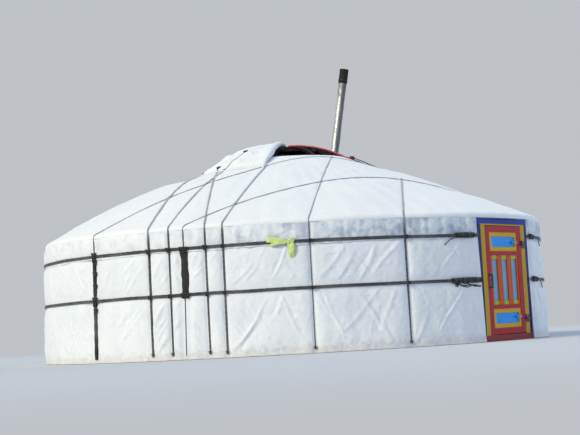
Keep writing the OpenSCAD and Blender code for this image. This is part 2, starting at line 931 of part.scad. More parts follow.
module leaf_caps() {
  // short blocks that close each board at its top and foot
  color(c_gold)
    for (i = [0 : board_count - 1])
      for (z = [0, board_field_h - cap_h])
        translate([board_x(i), -frame_y + 8, board_field_z + z])
          cube([board_w, 26, cap_h]);
}

module leaf_bars() {
  color(c_orange)
    translate([0, -frame_y + 4, board_field_z]) {
      for (i = [1 : board_count - 1])
        translate([board_x(i) - bar_w, 0, 0])
          cube([bar_w, 32, board_field_h]);
      for (x = [-field_w / 2, field_w / 2 - side_bar_w])
        translate([x, 0, 0])
          cube([side_bar_w, 32, board_field_h]);
    }
}

module leaf_hinges() {
  color(c_iron)
    for (z = hinge_z)
      translate([0, -frame_y, z])
        difference() {
          union() {
            translate([pin_x, -pin_y, 0])
              cylinder(h = eye_h, r = eye_r, $fn = 40);
            translate([leaf_x - strap_l, -4, 0])
              cube([strap_l, 4, eye_h]);
          }
          translate([pin_x, -pin_y, -1])
            cylinder(h = eye_h + 2, r = pin_r + pin_gap, $fn = 40);
        }
}

module leaf_handle() {
  x = -leaf_x + stile_w / 2;
  z = board_field_z + 190;
  color(c_iron)
    translate([x, -frame_y, z]) {
      translate([-17, -3, -18])
        cube([34, 3, grip_h + 36]);
      for (s = [0, grip_h - 12])
        translate([-6, -34, s])
          cube([12, 32, 12]);
      translate([-6, -40, 0])
        cube([12, 10, grip_h]);
    }
}

// Stove pipe

module pipe_axis() {
  rotate([0, 0, pipe_dir])
    translate([pipe_off, 0, pipe_ref_z])
      rotate([0, pipe_lean, 0])
        children();
}

module tube(z0, z1, ro, ri) {
  pipe_axis()
    translate([0, 0, (z0 - pipe_ref_z) / cos(pipe_lean)])
      difference() {
        cylinder(h = (z1 - z0) / cos(pipe_lean), r = ro, $fn = 48);
        translate([0, 0, -1])
          cylinder(h = (z1 - z0) / cos(pipe_lean) + 2, r = ri, $fn = 48);
      }
}

module pipe_lower() {
  color(c_zinc)
    tube(pipe_low_z, pipe_joint_z, pipe_r, pipe_r - pipe_t);
}

module pipe_upper() {
  color(c_zinc) {
    tube(pipe_joint_z + 0.5, pipe_top_z, pipe_r, pipe_r - pipe_t);
    tube(pipe_joint_z - 60, pipe_joint_z + 60, pipe_r + 0.4 + pipe_t, pipe_r + 0.4);
    tube(pipe_joint_z + 50, pipe_joint_z + 60, pipe_r + 1, pipe_r - pipe_t);
  }
}

module pipe_cap() {
  color(c_soot) {
    tube(pipe_top_z - cap_l, pipe_top_z + 12, pipe_r + 6, pipe_r + 0.4);
    tube(pipe_top_z + 2, pipe_top_z + 12, pipe_r + 1, pipe_r - 12);
  }
}

module pipe_plate() {
  // sheet between two ribs, from the hoop down to the ring
  ra = hoop_r + hoop_w / 2 + 1;
  rb = crown_in + 10;
  za = dome_z(ra) - 15;
  zb = crown_top + 1;
  fall = atan2(za - zb, rb - ra);
  len = norm([rb - ra, za - zb]);
  half = 180 / rib_count;
  wa = ra * tan(half) - rib_w / 2 / cos(half) - 1;
  wb = rb * tan(half) - rib_w / 2 / cos(half) - 1;
  color(c_zinc)
    difference() {
      rotate([0, 0, pipe_dir])
        translate([ra, 0, za])
          rotate([0, fall, 0])
            linear_extrude(plate_t)
              polygon([[0, -wa], [len, -wb], [len, wb], [0, wa]]);
      pipe_axis()
        cylinder(h = 600, r = pipe_r + 0.4, center = true, $fn = 48);
    }
}

crown_ring();
crown_ribs();
crown_hoop();
crown_boss();
post_left();
post_right();
trellis(0);  // trellis_1
trellis(1);  // trellis_2
trellis(2);  // trellis_3
trellis(3);  // trellis_4
trellis(4);  // trellis_5
roof_poles(0, 12);  // roof_poles_1
roof_poles(13, 24);  // roof_poles_2
roof_poles(25, 36);  // roof_poles_3
roof_poles(37, 48);  // roof_poles_4
roof_poles(49, 60);  // roof_poles_5
roof_poles(61, 63);  // roof_poles_door
wall_felt(0);  // wall_felt_1
wall_felt(1);  // wall_felt_2
wall_felt(2);  // wall_felt_3
wall_felt(3);  // wall_felt_4
wall_felt(4);  // wall_felt_5
roof_felt_front();
roof_felt_back();
wall_canvas();
roof_canvas();
crown_flap();
flap_fold();
girdle_upper();
girdle_lower();
roof_ropes_near();
roof_ropes_far();
flap_ropes();
wall_strap();
ribbon();
door_jamb_left();
door_jamb_right();
door_lintel();
door_sill();
door_trim();
door_pintles();
leaf_frame();
leaf_panels();
leaf_mouldings();
leaf_boards();
leaf_caps();
leaf_bars();
leaf_hinges();
leaf_handle();
pipe_lower();
pipe_upper();
pipe_cap();
pipe_plate();
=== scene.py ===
"""Looks of a round felt tent: cloth covers, ropes, painted wood, stove pipe and a plain studio."""

import logging
import math
from dataclasses import dataclass
from enum import Enum
from typing import Dict, List, Optional, Sequence, Tuple, Union

import bpy
import numpy as np
from mathutils import Matrix, Vector


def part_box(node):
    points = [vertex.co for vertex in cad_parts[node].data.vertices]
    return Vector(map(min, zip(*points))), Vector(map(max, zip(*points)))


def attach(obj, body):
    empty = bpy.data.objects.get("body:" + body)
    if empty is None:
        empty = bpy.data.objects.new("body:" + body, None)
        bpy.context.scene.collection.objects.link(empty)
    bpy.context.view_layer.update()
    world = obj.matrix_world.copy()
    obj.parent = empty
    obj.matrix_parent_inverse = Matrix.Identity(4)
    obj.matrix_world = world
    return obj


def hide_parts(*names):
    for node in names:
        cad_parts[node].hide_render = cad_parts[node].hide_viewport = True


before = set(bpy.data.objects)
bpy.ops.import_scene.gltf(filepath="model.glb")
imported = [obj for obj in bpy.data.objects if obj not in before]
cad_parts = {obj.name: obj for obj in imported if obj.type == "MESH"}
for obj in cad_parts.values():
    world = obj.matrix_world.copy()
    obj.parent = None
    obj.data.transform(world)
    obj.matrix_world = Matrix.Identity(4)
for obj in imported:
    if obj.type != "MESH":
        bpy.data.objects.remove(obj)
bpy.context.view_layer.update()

LOG = logging.getLogger("tent")
TURN = 2.0 * math.pi
UP = np.array([0.0, 0.0, 1.0])

Pair = Tuple[float, float]
Triple = Tuple[float, float, float]
Table = Tuple[Tuple[float, ...], ...]
Colour = Triple
Array = np.ndarray
Many = Union[float, Array]
Piece = bpy.types.Object
Socket = bpy.types.NodeSocket
Tint = Union[Colour, Socket]
Number = Union[float, "Wire"]


# Shader desk


class Wire:
    """A number in a shader. Every operator adds one Math node."""

    def __init__(self, desk: "Desk", socket: Socket) -> None:
        """Keeps the desk that lays nodes and the socket that carries the number."""
        self.desk = desk
        self.socket = socket

    def _sum(self, operation: str, *operands: Number) -> "Wire":
        """Adds a Math node on numbers or wires, in the order of its sockets."""
        return self.desk.wire("Math", {"operation": operation}, dict(enumerate(operands)))

    def __add__(self, other: Number) -> "Wire":
        """Returns self + other."""
        return self._sum("ADD", self, other)

    def __radd__(self, other: Number) -> "Wire":
        """Returns other + self."""
        return self._sum("ADD", other, self)

    def __sub__(self, other: Number) -> "Wire":
        """Returns self - other."""
        return self._sum("SUBTRACT", self, other)

    def __rsub__(self, other: Number) -> "Wire":
        """Returns other - self."""
        return self._sum("SUBTRACT", other, self)

    def __mul__(self, other: Number) -> "Wire":
        """Returns self * other."""
        return self._sum("MULTIPLY", self, other)

    def __rmul__(self, other: Number) -> "Wire":
        """Returns other * self."""
        return self._sum("MULTIPLY", other, self)

    def __pow__(self, other: Number) -> "Wire":
        """Returns self to the power of other."""
        return self._sum("POWER", self, other)

    def __abs__(self) -> "Wire":
        """Returns the size of self without its sign."""
        return self._sum("ABSOLUTE", self)

    def sine(self) -> "Wire":
        """Returns the sine of self."""
        return self._sum("SINE", self)

    def within(self, low: float, high: float) -> "Wire":
        """Maps self from low..high smoothly to 0..1."""
        sockets = {"Value": self, "From Min": low, "From Max": high}
        return self.desk.wire("MapRange", {"interpolation_type": "SMOOTHSTEP"}, sockets)


class Desk:
    """Lays out the nodes of one material or of the surrounding light."""

    def __init__(self, owner: Union[bpy.types.Material, bpy.types.World]) -> None:
        """Takes over the owner's nodes."""
        owner.use_nodes = True
        self.tree = owner.node_tree
        self.shader = self.tree.nodes.get("Principled BSDF")
        self._place: Optional[Socket] = None

    def node(self, kind: str, settings: Optional[dict] = None, sockets: Optional[dict] = None) -> bpy.types.Node:
        """Adds any node.

        Args:
            kind: the node's type, without its prefix.
            settings: its own settings, made first.
            sockets: values or links of its inputs, by name or number.

        Returns:
            The new node.
        """
        node = self.tree.nodes.new("ShaderNode" + kind)
        for key, value in (settings or {}).items():
            setattr(node, key, value)
        for key, value in (sockets or {}).items():
            self.feed(node.inputs[key], value)
        return node

    def wire(self, kind: str, settings: Optional[dict] = None, sockets: Optional[dict] = None) -> Wire:
        """Adds any node and returns the number that it gives."""
        return Wire(self, self.node(kind, settings, sockets).outputs[0])

    def feed(self, target: Socket, value: Union[float, tuple, Wire, Socket]) -> None:
        """Sets or links one input.

        Args:
            target: the input socket.
            value: a number, a colour, a wire or an output socket.
        """
        if isinstance(value, Wire):
            value = value.socket
        if isinstance(value, Socket):
            self.tree.links.new(value, target)
        elif target.type == "RGBA":
            target.default_value = (*value[:3], 1.0)
        else:
            target.default_value = value

    def place(self) -> Socket:
        """Returns the place on the object in metres."""
        if self._place is None:
            self._place = self.node("TexCoord").outputs["Object"]
        return self._place

    def cloth(self) -> Socket:
        """Returns the place on the cloth or rope as it was cut, in metres."""
        return self.node("UVMap").outputs["UV"]

    def part(self, vector: Socket, axis: str) -> Wire:
        """Returns the X, Y or Z of a vector."""
        return Wire(self, self.node("SeparateXYZ", {}, {0: vector}).outputs[axis])

    def stretched(self, vector: Socket, scales: Triple) -> Socket:
        """Returns a vector scaled by one factor for each axis."""
        return self.node("VectorMath", {"operation": "MULTIPLY"}, {0: vector, 1: scales}).outputs[0]

    def noise(self, vector: Socket, scale: float, detail: float = 3.0, twist: float = 0.0) -> Wire:
        """Returns a soft random pattern from 0 to 1, with scale bumps a metre, finer detail and a twist."""
        return self.wire("TexNoise", {}, {"Vector": vector, "Scale": scale, "Detail": detail, "Distortion": twist})

    def measure(self, operation: str, *vectors: Union[tuple, Socket]) -> Wire:
        """Returns a measure of one vector, or of two against each other."""
        node = self.node("VectorMath", {"operation": operation}, dict(enumerate(vectors)))
        return Wire(self, node.outputs["Value"])

    def blend(self, share: Number, first: Tint, second: Tint) -> Socket:
        """Returns a colour mixed from two, with a share from 0 to 1 of the second."""
        sockets = {0: share, 6: first, 7: second}
        return self.node("Mix", {"data_type": "RGBA", "clamp_factor": True}, sockets).outputs[2]

    def edges(self, width: float) -> Wire:
        """Returns 0 on flat faces, rising towards 1 within a width in metres of an edge."""
        return (1.0 - self.measure("DOT_PRODUCT", self.rounded(width), self.normal())).within(0.01, 0.22)

    def seen(self) -> Wire:
        """Returns 1 for what the camera sees, straight, mirrored or through something, and else 0."""
        rays = self.node("LightPath").outputs
        mirrored = Wire(self, rays["Is Glossy Ray"]) + Wire(self, rays["Is Transmission Ray"])
        return (Wire(self, rays["Is Camera Ray"]) + mirrored).within(0.0, 1.0)

    def normal(self) -> Socket:
        """Returns the direction in which the surface looks."""
        return self.node("NewGeometry").outputs["Normal"]

    def rounded(self, radius: float) -> Socket:
        """Returns the same direction with sharp edges rounded by a radius in metres."""
        return self.node("Bevel", {"samples": 4}, {"Radius": radius}).outputs[0]

    def relief(self, height: Wire, rounding: float = 0.0) -> Socket:
        """Turns a height into a surface normal.

        Args:
            height: the height in metres.
            rounding: radius by which sharp edges look rounded, in metres.

        Returns:
            The normal.
        """
        sockets = {"Height": height, "Strength": 1.0, "Distance": 1.0}
        if rounding:
            sockets["Normal"] = self.rounded(rounding)
        return self.node("Bump", {}, sockets).outputs[0]

    def dress(self, **looks: Union[float, tuple, Wire, Socket]) -> None:
        """Feeds the main shader's inputs, named with _ for each blank."""
        for key, value in looks.items():
            self.feed(self.shader.inputs[key.replace("_", " ")], value)


# Finishes


@dataclass(frozen=True)
class Finish:
    """A finish that is made once and then shared by its name."""

    name: str

    def material(self) -> bpy.types.Material:
        """Returns the material, made on first use."""
        made = bpy.data.materials.get(self.name)
        if made is None:
            made = bpy.data.materials.new(self.name)
            self.lay(Desk(made))
        return made

    def lay(self, desk: Desk) -> None:
        """Lays the nodes of the finish."""
        raise NotImplementedError


@dataclass(frozen=True)
class Canvas(Finish):
    """White cotton canvas with yarn, crumples, rain marks, dust and soot; given a back colour, its side towards -Y
    carries painted shade.
    """

    colour: Colour = (0.83, 0.83, 0.835)
    shade: Colour = (0.66, 0.68, 0.73)
    mottle: float = 0.35
    streaks: float = 0.25
    splash_top: float = 0.0
    crumple: float = 0.006
    pipe: Optional[Triple] = None
    yarn: float = 0.0035
    blots: float = 1.6
    unshaded_back: Optional[Colour] = None
    rain: Colour = (0.60, 0.57, 0.52)
    mud: Colour = (0.40, 0.33, 0.25)
    soot: Colour = (0.13, 0.11, 0.10)

    def lay(self, desk: Desk) -> None:
        """Lays the nodes of the finish."""
        place = desk.place()
        cloth = desk.cloth()
        cloud = desk.noise(place, self.blots, 4.0).within(0.40, 0.70)
        patch = desk.noise(place, 7.0, 3.0).within(0.45, 0.75)
        run = desk.noise(desk.stretched(cloth, (6.0, 0.7, 1.0)), 1.0, 3.0).within(0.50, 0.78)
        stain = cloud * self.mottle + patch * (self.mottle * 0.5)
        fresh: Tint = self.colour
        # Painted shade: with a back colour, the side towards -Y keeps the darker given colour and the blotches
        # (stain), while the back gets the plain colour with fewer blotches.
        if self.unshaded_back is not None:
            shaded_front = (0.0 - desk.part(place, "Y")).within(0.4, 2.5)
            fresh = desk.blend(shaded_front, self.unshaded_back, self.colour)
            stain = stain * (0.30 + 0.70 * shaded_front)
        colour = desk.blend(stain, fresh, self.shade)
        colour = desk.blend(run * self.streaks, colour, self.rain)
        grime = desk.noise(place, 24.0, 4.0)
        if self.splash_top:
            height = desk.part(place, "Z")
            wet = 1.0 - (height + (grime - 0.5) * 0.22).within(0.0, self.splash_top)
            colour = desk.blend(wet * 0.36, colour, self.mud)
        if self.pipe is not None:
            near = 1.0 - (desk.measure("DISTANCE", place, self.pipe) + (grime - 0.5) * 0.16).within(0.05, 0.42)
            colour = desk.blend(near * 0.75, colour, self.soot)
        warp = (desk.part(cloth, "X") * (TURN / self.yarn)).sine()
        weft = (desk.part(cloth, "Y") * (TURN / self.yarn)).sine()
        rough = desk.noise(place, 10.0, 4.0, 0.4)
        ridge = 1.0 - abs(desk.noise(place, 4.2, 2.0, 0.6) * 2.0 - 1.0)
        height = warp * weft * 0.00012 + rough * self.crumple + (ridge ** 6.0) * (self.crumple * 0.8)
        desk.dress(
            Base_Color=colour,
            Roughness=0.82 + grime * 0.14,
            Sheen_Weight=0.12,
            Sheen_Roughness=0.5,
            Normal=desk.relief(height),
        )


@dataclass(frozen=True)
class WoolFelt(Finish):
    """Pressed sheep wool with long fibres and darker wisps."""

    colour: Colour = (0.66, 0.62, 0.54)
    wisp: Colour = (0.40, 0.35, 0.28)
    tip: Colour = (0.80, 0.77, 0.70)

    def lay(self, desk: Desk) -> None:
        """Lays the nodes of the finish."""
        place = desk.place()
        lump = desk.noise(place, 14.0, 5.0)
        fibre = desk.noise(desk.stretched(place, (90.0, 90.0, 22.0)), 1.0, 3.0, 1.2)
        colour = desk.blend(lump.within(0.45, 0.75) * 0.55, self.colour, self.wisp)
        colour = desk.blend(fibre.within(0.62, 0.72) * 0.5, colour, self.tip)
        desk.dress(
            Base_Color=colour,
            Roughness=0.95,
            Sheen_Weight=0.3,
            Normal=desk.relief(lump * 0.004 + fibre * 0.0012),
        )


@dataclass(frozen=True)
class HairRope(Finish):
    """Twisted animal hair: dark strands with lighter hairs and dust between them, with painted light that makes it
    lighter and bluer high up, where it lies on the roof.
    """

    dark: Colour = (0.040, 0.037, 0.040)
    light: Colour = (0.30, 0.28, 0.26)
    share: float = 0.35
    dust: Colour = (0.30, 0.28, 0.27)
    painted_light: float = 0.0
    painted_light_colour: Colour = (0.50, 0.50, 0.56)
    painted_light_from: float = 1.26
    painted_light_to: float = 1.52

    def lay(self, desk: Desk) -> None:
        """Lays the nodes of the finish."""
        cloth = desk.cloth()
        hair = desk.noise(desk.stretched(cloth, (60.0, 9.0, 1.0)), 1.0, 4.0, 0.5)
        stretch = desk.noise(desk.stretched(cloth, (2.0, 1.0, 1.0)), 1.0, 2.0).within(0.42, 0.62)
        colour = desk.blend(hair.within(0.50, 0.70) * self.share, self.dark, self.light)
        colour = desk.blend(stretch * 0.25, colour, self.dust)
        # Painted light: above a height, where the rope lies on the roof, it turns lighter and bluer.
        if self.painted_light:
            height = desk.part(desk.place(), "Z") + (stretch - 0.5) * 0.12
            share = height.within(self.painted_light_from, self.painted_light_to) * self.painted_light
            colour = desk.blend(share, colour, self.painted_light_colour)
        desk.dress(Base_Color=colour, Roughness=0.9, Sheen_Weight=0.2, Normal=desk.relief(hair * 0.0015))


@dataclass(frozen=True)
class Webbing(Finish):
    """Woven band with ribs across it and pale worn spots."""

    colour: Colour = (0.010, 0.010, 0.013)
    worn: Colour = (0.15, 0.14, 0.14)
    rib: float = 0.007

    def lay(self, desk: Desk) -> None:
        """Lays the nodes of the finish."""
        cloth = desk.cloth()
        rib = (desk.part(cloth, "Y") * (TURN / self.rib)).sine()
        wear = desk.noise(desk.place(), 30.0, 4.0)
        colour = desk.blend(wear.within(0.55, 0.78) * 0.2, self.colour, self.worn)
        desk.dress(
            Base_Color=colour, Roughness=0.78, Sheen_Weight=0.1, Normal=desk.relief(rib * 0.0006 + wear * 0.002)
        )


class Grain(Enum):
    """Direction in which the wood grain of a piece runs."""

    UPRIGHT = (55.0, 55.0, 2.5)
    ACROSS = (2.5, 55.0, 55.0)
    ROUND = (24.0, 24.0, 24.0)


@dataclass(frozen=True)
class Paint(Finish):
    """Brushed oil paint on wood: faded, dusty on top, rubbed and chipped along its edges, or darkened nearly to
    black by painted shade in place of the dust.
    """

    colour: Colour = (0.5, 0.1, 0.1)
    under: Colour = (0.30, 0.19, 0.11)
    grain: Grain = Grain.UPRIGHT
    gloss: float = 0.38
    wear: float = 0.55
    edge: float = 0.006
    painted_shade: float = 0.0
    painted_shade_colour: Colour = (0.012, 0.010, 0.010)
    dirt: Colour = (0.46, 0.40, 0.33)

    def lay(self, desk: Desk) -> None:
        """Lays the nodes of the finish."""
        place = desk.place()
        streak = desk.noise(desk.stretched(place, self.grain.value), 1.0, 4.0)
        fade = desk.noise(place, 3.5, 3.0).within(0.38, 0.70)
        speck = desk.noise(place, 70.0, 4.0)
        deep = tuple(c * 0.62 for c in self.colour)
        pale = tuple(min(1.0, c * 1.12 + 0.008) for c in self.colour)
        colour = self.base(desk, place)
        colour = desk.blend(streak.within(0.35, 0.68) * 0.40, colour, deep)
        colour = desk.blend(fade * 0.25, colour, pale)
        rubbed = desk.edges(self.edge) * speck.within(0.40, 0.60)
        chips = speck.within(0.68, 0.72) * 0.7
        bare = rubbed * self.wear + chips * self.wear
        colour = desk.blend(bare, colour, self.under)
        dust = desk.part(desk.normal(), "Z").within(0.35, 0.95) * desk.noise(place, 18.0, 3.0).within(0.30, 0.70)
        # Painted shade: the paint goes nearly black, for the deep shade inside the crown.
        if self.painted_shade:
            soot = desk.noise(place, 6.0, 4.0).within(0.30, 0.55) * 0.2 + self.painted_shade
            colour = desk.blend(soot, colour, self.painted_shade_colour)
        else:
            colour = desk.blend(dust * 0.50, colour, self.dirt)
        desk.dress(
            Base_Color=colour,
            Roughness=self.gloss + streak * 0.12 + bare * 0.35 + dust * 0.3,
            Specular_IOR_Level=0.12,
            Normal=desk.relief(streak * 0.0006 - bare * 0.0005, rounding=0.002),
        )

    def base(self, desk: Desk, place: Socket) -> Tint:
        """Returns the colour of the fresh paint."""
        return self.colour


@dataclass(frozen=True)
class StripedPaint(Paint):
    """Paint that takes the colours of the boards which the ironwork crosses."""

    stripes: Tuple[Tuple[float, Colour], ...] = ()
    blur: float = 0.0015

    def base(self, desk: Desk, place: Socket) -> Tint:
        """Lays one colour after the other towards the hinge side.

        Args:
            desk: lays the nodes.
            place: the place on the object.

        Returns:
            The striped colour.
        """
        across = desk.part(place, "X")
        colour: Tint = self.colour
        for start, stripe in self.stripes:
            colour = desk.blend(across.within(start - self.blur, start + self.blur), colour, stripe)
        return colour


@dataclass(frozen=True)
class StainedWood(Finish):
    """Peeled willow laths rubbed with red brown stain."""

    colour: Colour = (0.36, 0.16, 0.075)
    vein: Colour = (0.17, 0.075, 0.04)
    pale: Colour = (0.50, 0.27, 0.14)
    rubbed: Colour = (0.52, 0.36, 0.22)
    grain: Grain = Grain.UPRIGHT

    def lay(self, desk: Desk) -> None:
        """Lays the nodes of the finish."""
        place = desk.place()
        streak = desk.noise(desk.stretched(place, self.grain.value), 1.0, 5.0, 0.5)
        tone = desk.noise(place, 5.0, 2.0).within(0.35, 0.70)
        colour = desk.blend(streak.within(0.32, 0.70) * 0.6, self.colour, self.vein)
        colour = desk.blend(tone * 0.4, colour, self.pale)
        colour = desk.blend(desk.edges(0.004) * 0.35, colour, self.rubbed)
        desk.dress(Base_Color=colour, Roughness=0.62, Normal=desk.relief(streak * 0.001, rounding=0.003))


@dataclass(frozen=True)
class Galvanised(Finish):
    """Zinc coated sheet with spangles, rust spots, painted shade on one side and soot towards the top."""

    zinc: Colour = (0.62, 0.64, 0.67)
    flake: Colour = (0.47, 0.49, 0.52)
    stain: Colour = (0.34, 0.33, 0.33)
    rust: Colour = (0.26, 0.12, 0.06)
    painted_side_colour: Colour = (0.075, 0.080, 0.090)
    soot: Colour = (0.035, 0.032, 0.030)
    soot_from: float = 3.05
    soot_to: float = 3.62
    painted_shade_side: Triple = (0.42, -0.91, 0.0)

    def lay(self, desk: Desk) -> None:
        """Lays the nodes of the finish."""
        place = desk.place()
        flake = desk.node("TexVoronoi", {"feature": "F1"}, {"Vector": place, "Scale": 42.0})
        spangle = desk.part(flake.outputs["Color"], "X")
        run = desk.noise(desk.stretched(place, (26.0, 26.0, 1.6)), 1.0, 4.0)
        spot = desk.noise(place, 16.0, 5.0)
        colour = desk.blend(spangle * 0.35, self.zinc, self.flake)
        colour = desk.blend(run.within(0.45, 0.75) * 0.55, colour, self.stain)
        rust = spot.within(0.60, 0.74)
        colour = desk.blend(rust * 0.6, colour, self.rust)
        height = desk.part(place, "Z") + (run - 0.5) * 0.5
        # Painted shade: faces that look towards one side are darkened.
        painted_shade_side = (desk.measure("DOT_PRODUCT", desk.normal(), self.painted_shade_side) + (run - 0.5) * 0.7).within(0.0, 0.55)
        colour = desk.blend(painted_shade_side * 0.80, colour, self.painted_side_colour)
        soot = height.within(self.soot_from, self.soot_to)
        colour = desk.blend(soot * 0.9, colour, self.soot)
        desk.dress(
            Base_Color=colour,
            Metallic=0.85 - rust * 0.5 - soot * 0.7,
            Roughness=0.36 + run * 0.12 + soot * 0.4 + rust * 0.2,
            Normal=desk.relief(run * 0.0015 + spot * 0.002),
        )


@dataclass(frozen=True)
class Soot(Finish):
    """Sheet metal burnt black, with flakes and a brown bloom."""

    black: Colour = (0.012, 0.011, 0.011)
    bloom: Colour = (0.085, 0.060, 0.045)

    def lay(self, desk: Desk) -> None:
        """Lays the nodes of the finish."""
        flake = desk.noise(desk.place(), 34.0, 5.0)
        colour = desk.blend(flake.within(0.52, 0.75) * 0.7, self.black, self.bloom)
        desk.dress(Base_Color=colour, Roughness=0.88, Metallic=0.2, Normal=desk.relief(flake * 0.003))


@dataclass(frozen=True)
class Iron(Finish):
    """Forged iron, hammered and dark, with rust."""

    dark: Colour = (0.055, 0.052, 0.052)
    bright: Colour = (0.30, 0.29, 0.28)
    rust: Colour = (0.19, 0.075, 0.035)

    def lay(self, desk: Desk) -> None:
        """Lays the nodes of the finish."""
        place = desk.place()
        dent = desk.noise(place, 60.0, 2.0)
        rust = desk.noise(place, 26.0, 5.0).within(0.52, 0.72)
        colour = desk.blend(desk.edges(0.004) * 0.5, self.dark, self.bright)
        colour = desk.blend(rust * 0.6, colour, self.rust)
        desk.dress(
            Base_Color=colour,
            Metallic=0.8 - rust * 0.6,
            Roughness=0.45 + rust * 0.35,
            Normal=desk.relief(dent * 0.0012, rounding=0.0015),
        )


@dataclass(frozen=True)
class Scarf(Finish):
    """Thin yellow green cloth with a soft lustre and faded folds."""

    colour: Colour = (0.55, 0.69, 0.20)
    faded: Colour = (0.74, 0.80, 0.42)
    thread: float = 0.0016

    def lay(self, desk: Desk) -> None:
        """Lays the nodes of the finish."""
        cloth = desk.cloth()
        thread = (desk.part(cloth, "X") * (TURN / self.thread)).sine()
        fade = desk.noise(desk.place(), 22.0, 3.0).within(0.35, 0.70)
        colour = desk.blend(fade * 0.55, self.colour, self.faded)
        desk.dress(
            Base_Color=colour, Roughness=0.5, Sheen_Weight=0.35, Normal=desk.relief(thread * 0.0001 + fade * 0.0015)
        )


@dataclass(frozen=True)
class StudioFloor(Finish):
    """Plain pale floor that fades into the backdrop away from the object."""

    colour: Colour = (0.60, 0.61, 0.63)
    fade_from: float = 6.0
    fade_to: float = 16.0

    def lay(self, desk: Desk) -> None:
        """Lays the nodes of the finish."""
        share = desk.measure("LENGTH", desk.place()).within(self.fade_from, self.fade_to) * desk.seen()
        desk.dress(Base_Color=self.colour, Roughness=0.95, Specular_IOR_Level=0.1)
        glow = desk.node("Emission", {}, {"Color": BACKDROP, "Strength": 1.0})
        mixed = desk.node("MixShader", {}, {0: share, 1: desk.shader.outputs[0], 2: glow.outputs[0]})
        desk.feed(desk.tree.nodes["Material Output"].inputs["Surface"], mixed.outputs[0])


BACKDROP: Colour = (0.52, 0.54, 0.57)
WHITE: Colour = (0.85, 0.85, 0.855)


# Forms


def ease(x: Many, low: float, high: float) -> Many:
    """Maps x from low..high smoothly to 0..1."""
    t = np.clip((x - low) / (high - low), 0.0, 1.0)
    return t * t * (3.0 - 2.0 * t)


def bell(x: Many, width: float) -> Many:
    """Returns 1 at x = 0, falling to nothing some widths away."""
    return np.exp(-((x / width) ** 2))


def plan(radius: float, degrees: float) -> Array:
    """Returns a point in plan at a radius and a direction counted from +X."""
    return radius * np.array([math.cos(math.radians(degrees)), math.sin(math.radians(degrees))])


def polar(r: Many, turn: Many, z: Many) -> Array:
    """Returns points in space at radii, directions in radians and heights."""
    return cut(r * np.cos(turn), r * np.sin(turn), z)


def cut(*axes: Many) -> Array:
    """Joins the numbers of each axis to points, in space or on the flat cloth."""
    return np.stack(np.broadcast_arrays(*axes), axis=-1)


def bow(degrees: Many, at: float) -> Many:
    """Returns the angle between directions and one direction, in radians."""
    return np.abs(np.radians((degrees - at + 180.0) % 360.0 - 180.0))


def even(count: int) -> Array:
    """Returns numbers in even steps from 0 to 1."""
    return np.linspace(0.0, 1.0, count)


def unit(vector: Array) -> Array:
    """Returns vectors brought to length 1."""
    return vector / np.linalg.norm(vector, axis=-1, keepdims=True)


class Waves:
    """Smooth seeded unevenness over a plane, made of many sine waves."""

    def __init__(self, seed: int, count: int, longest: float, shortest: float, lean: float = 1.0) -> None:
        """Draws the waves.

        Args:
            seed: start of the random draws.
            count: number of waves.
            longest: longest wave in metres.
            shortest: shortest wave in metres.
            lean: how much they vary along the second axis, against the first.
        """
        draw = np.random.default_rng(seed)
        length = np.exp(draw.uniform(math.log(shortest), math.log(longest), count))
        heading = draw.uniform(0.0, TURN, count)
        self.across = TURN / length * np.cos(heading)
        self.along = TURN / length * np.sin(heading) * lean
        self.phase = draw.uniform(0.0, TURN, count)
        self.share = np.sqrt(length / longest) / math.sqrt(count)

    def at(self, x: Array, y: Array) -> Array:
        """Returns the unevenness at points, mostly between -1 and 1."""
        total = np.zeros(np.broadcast(x, y).shape)
        for across, along, phase, share in zip(self.across, self.along, self.phase, self.share):
            total += share * np.sin(across * x + along * y + phase)
        return total * 1.4


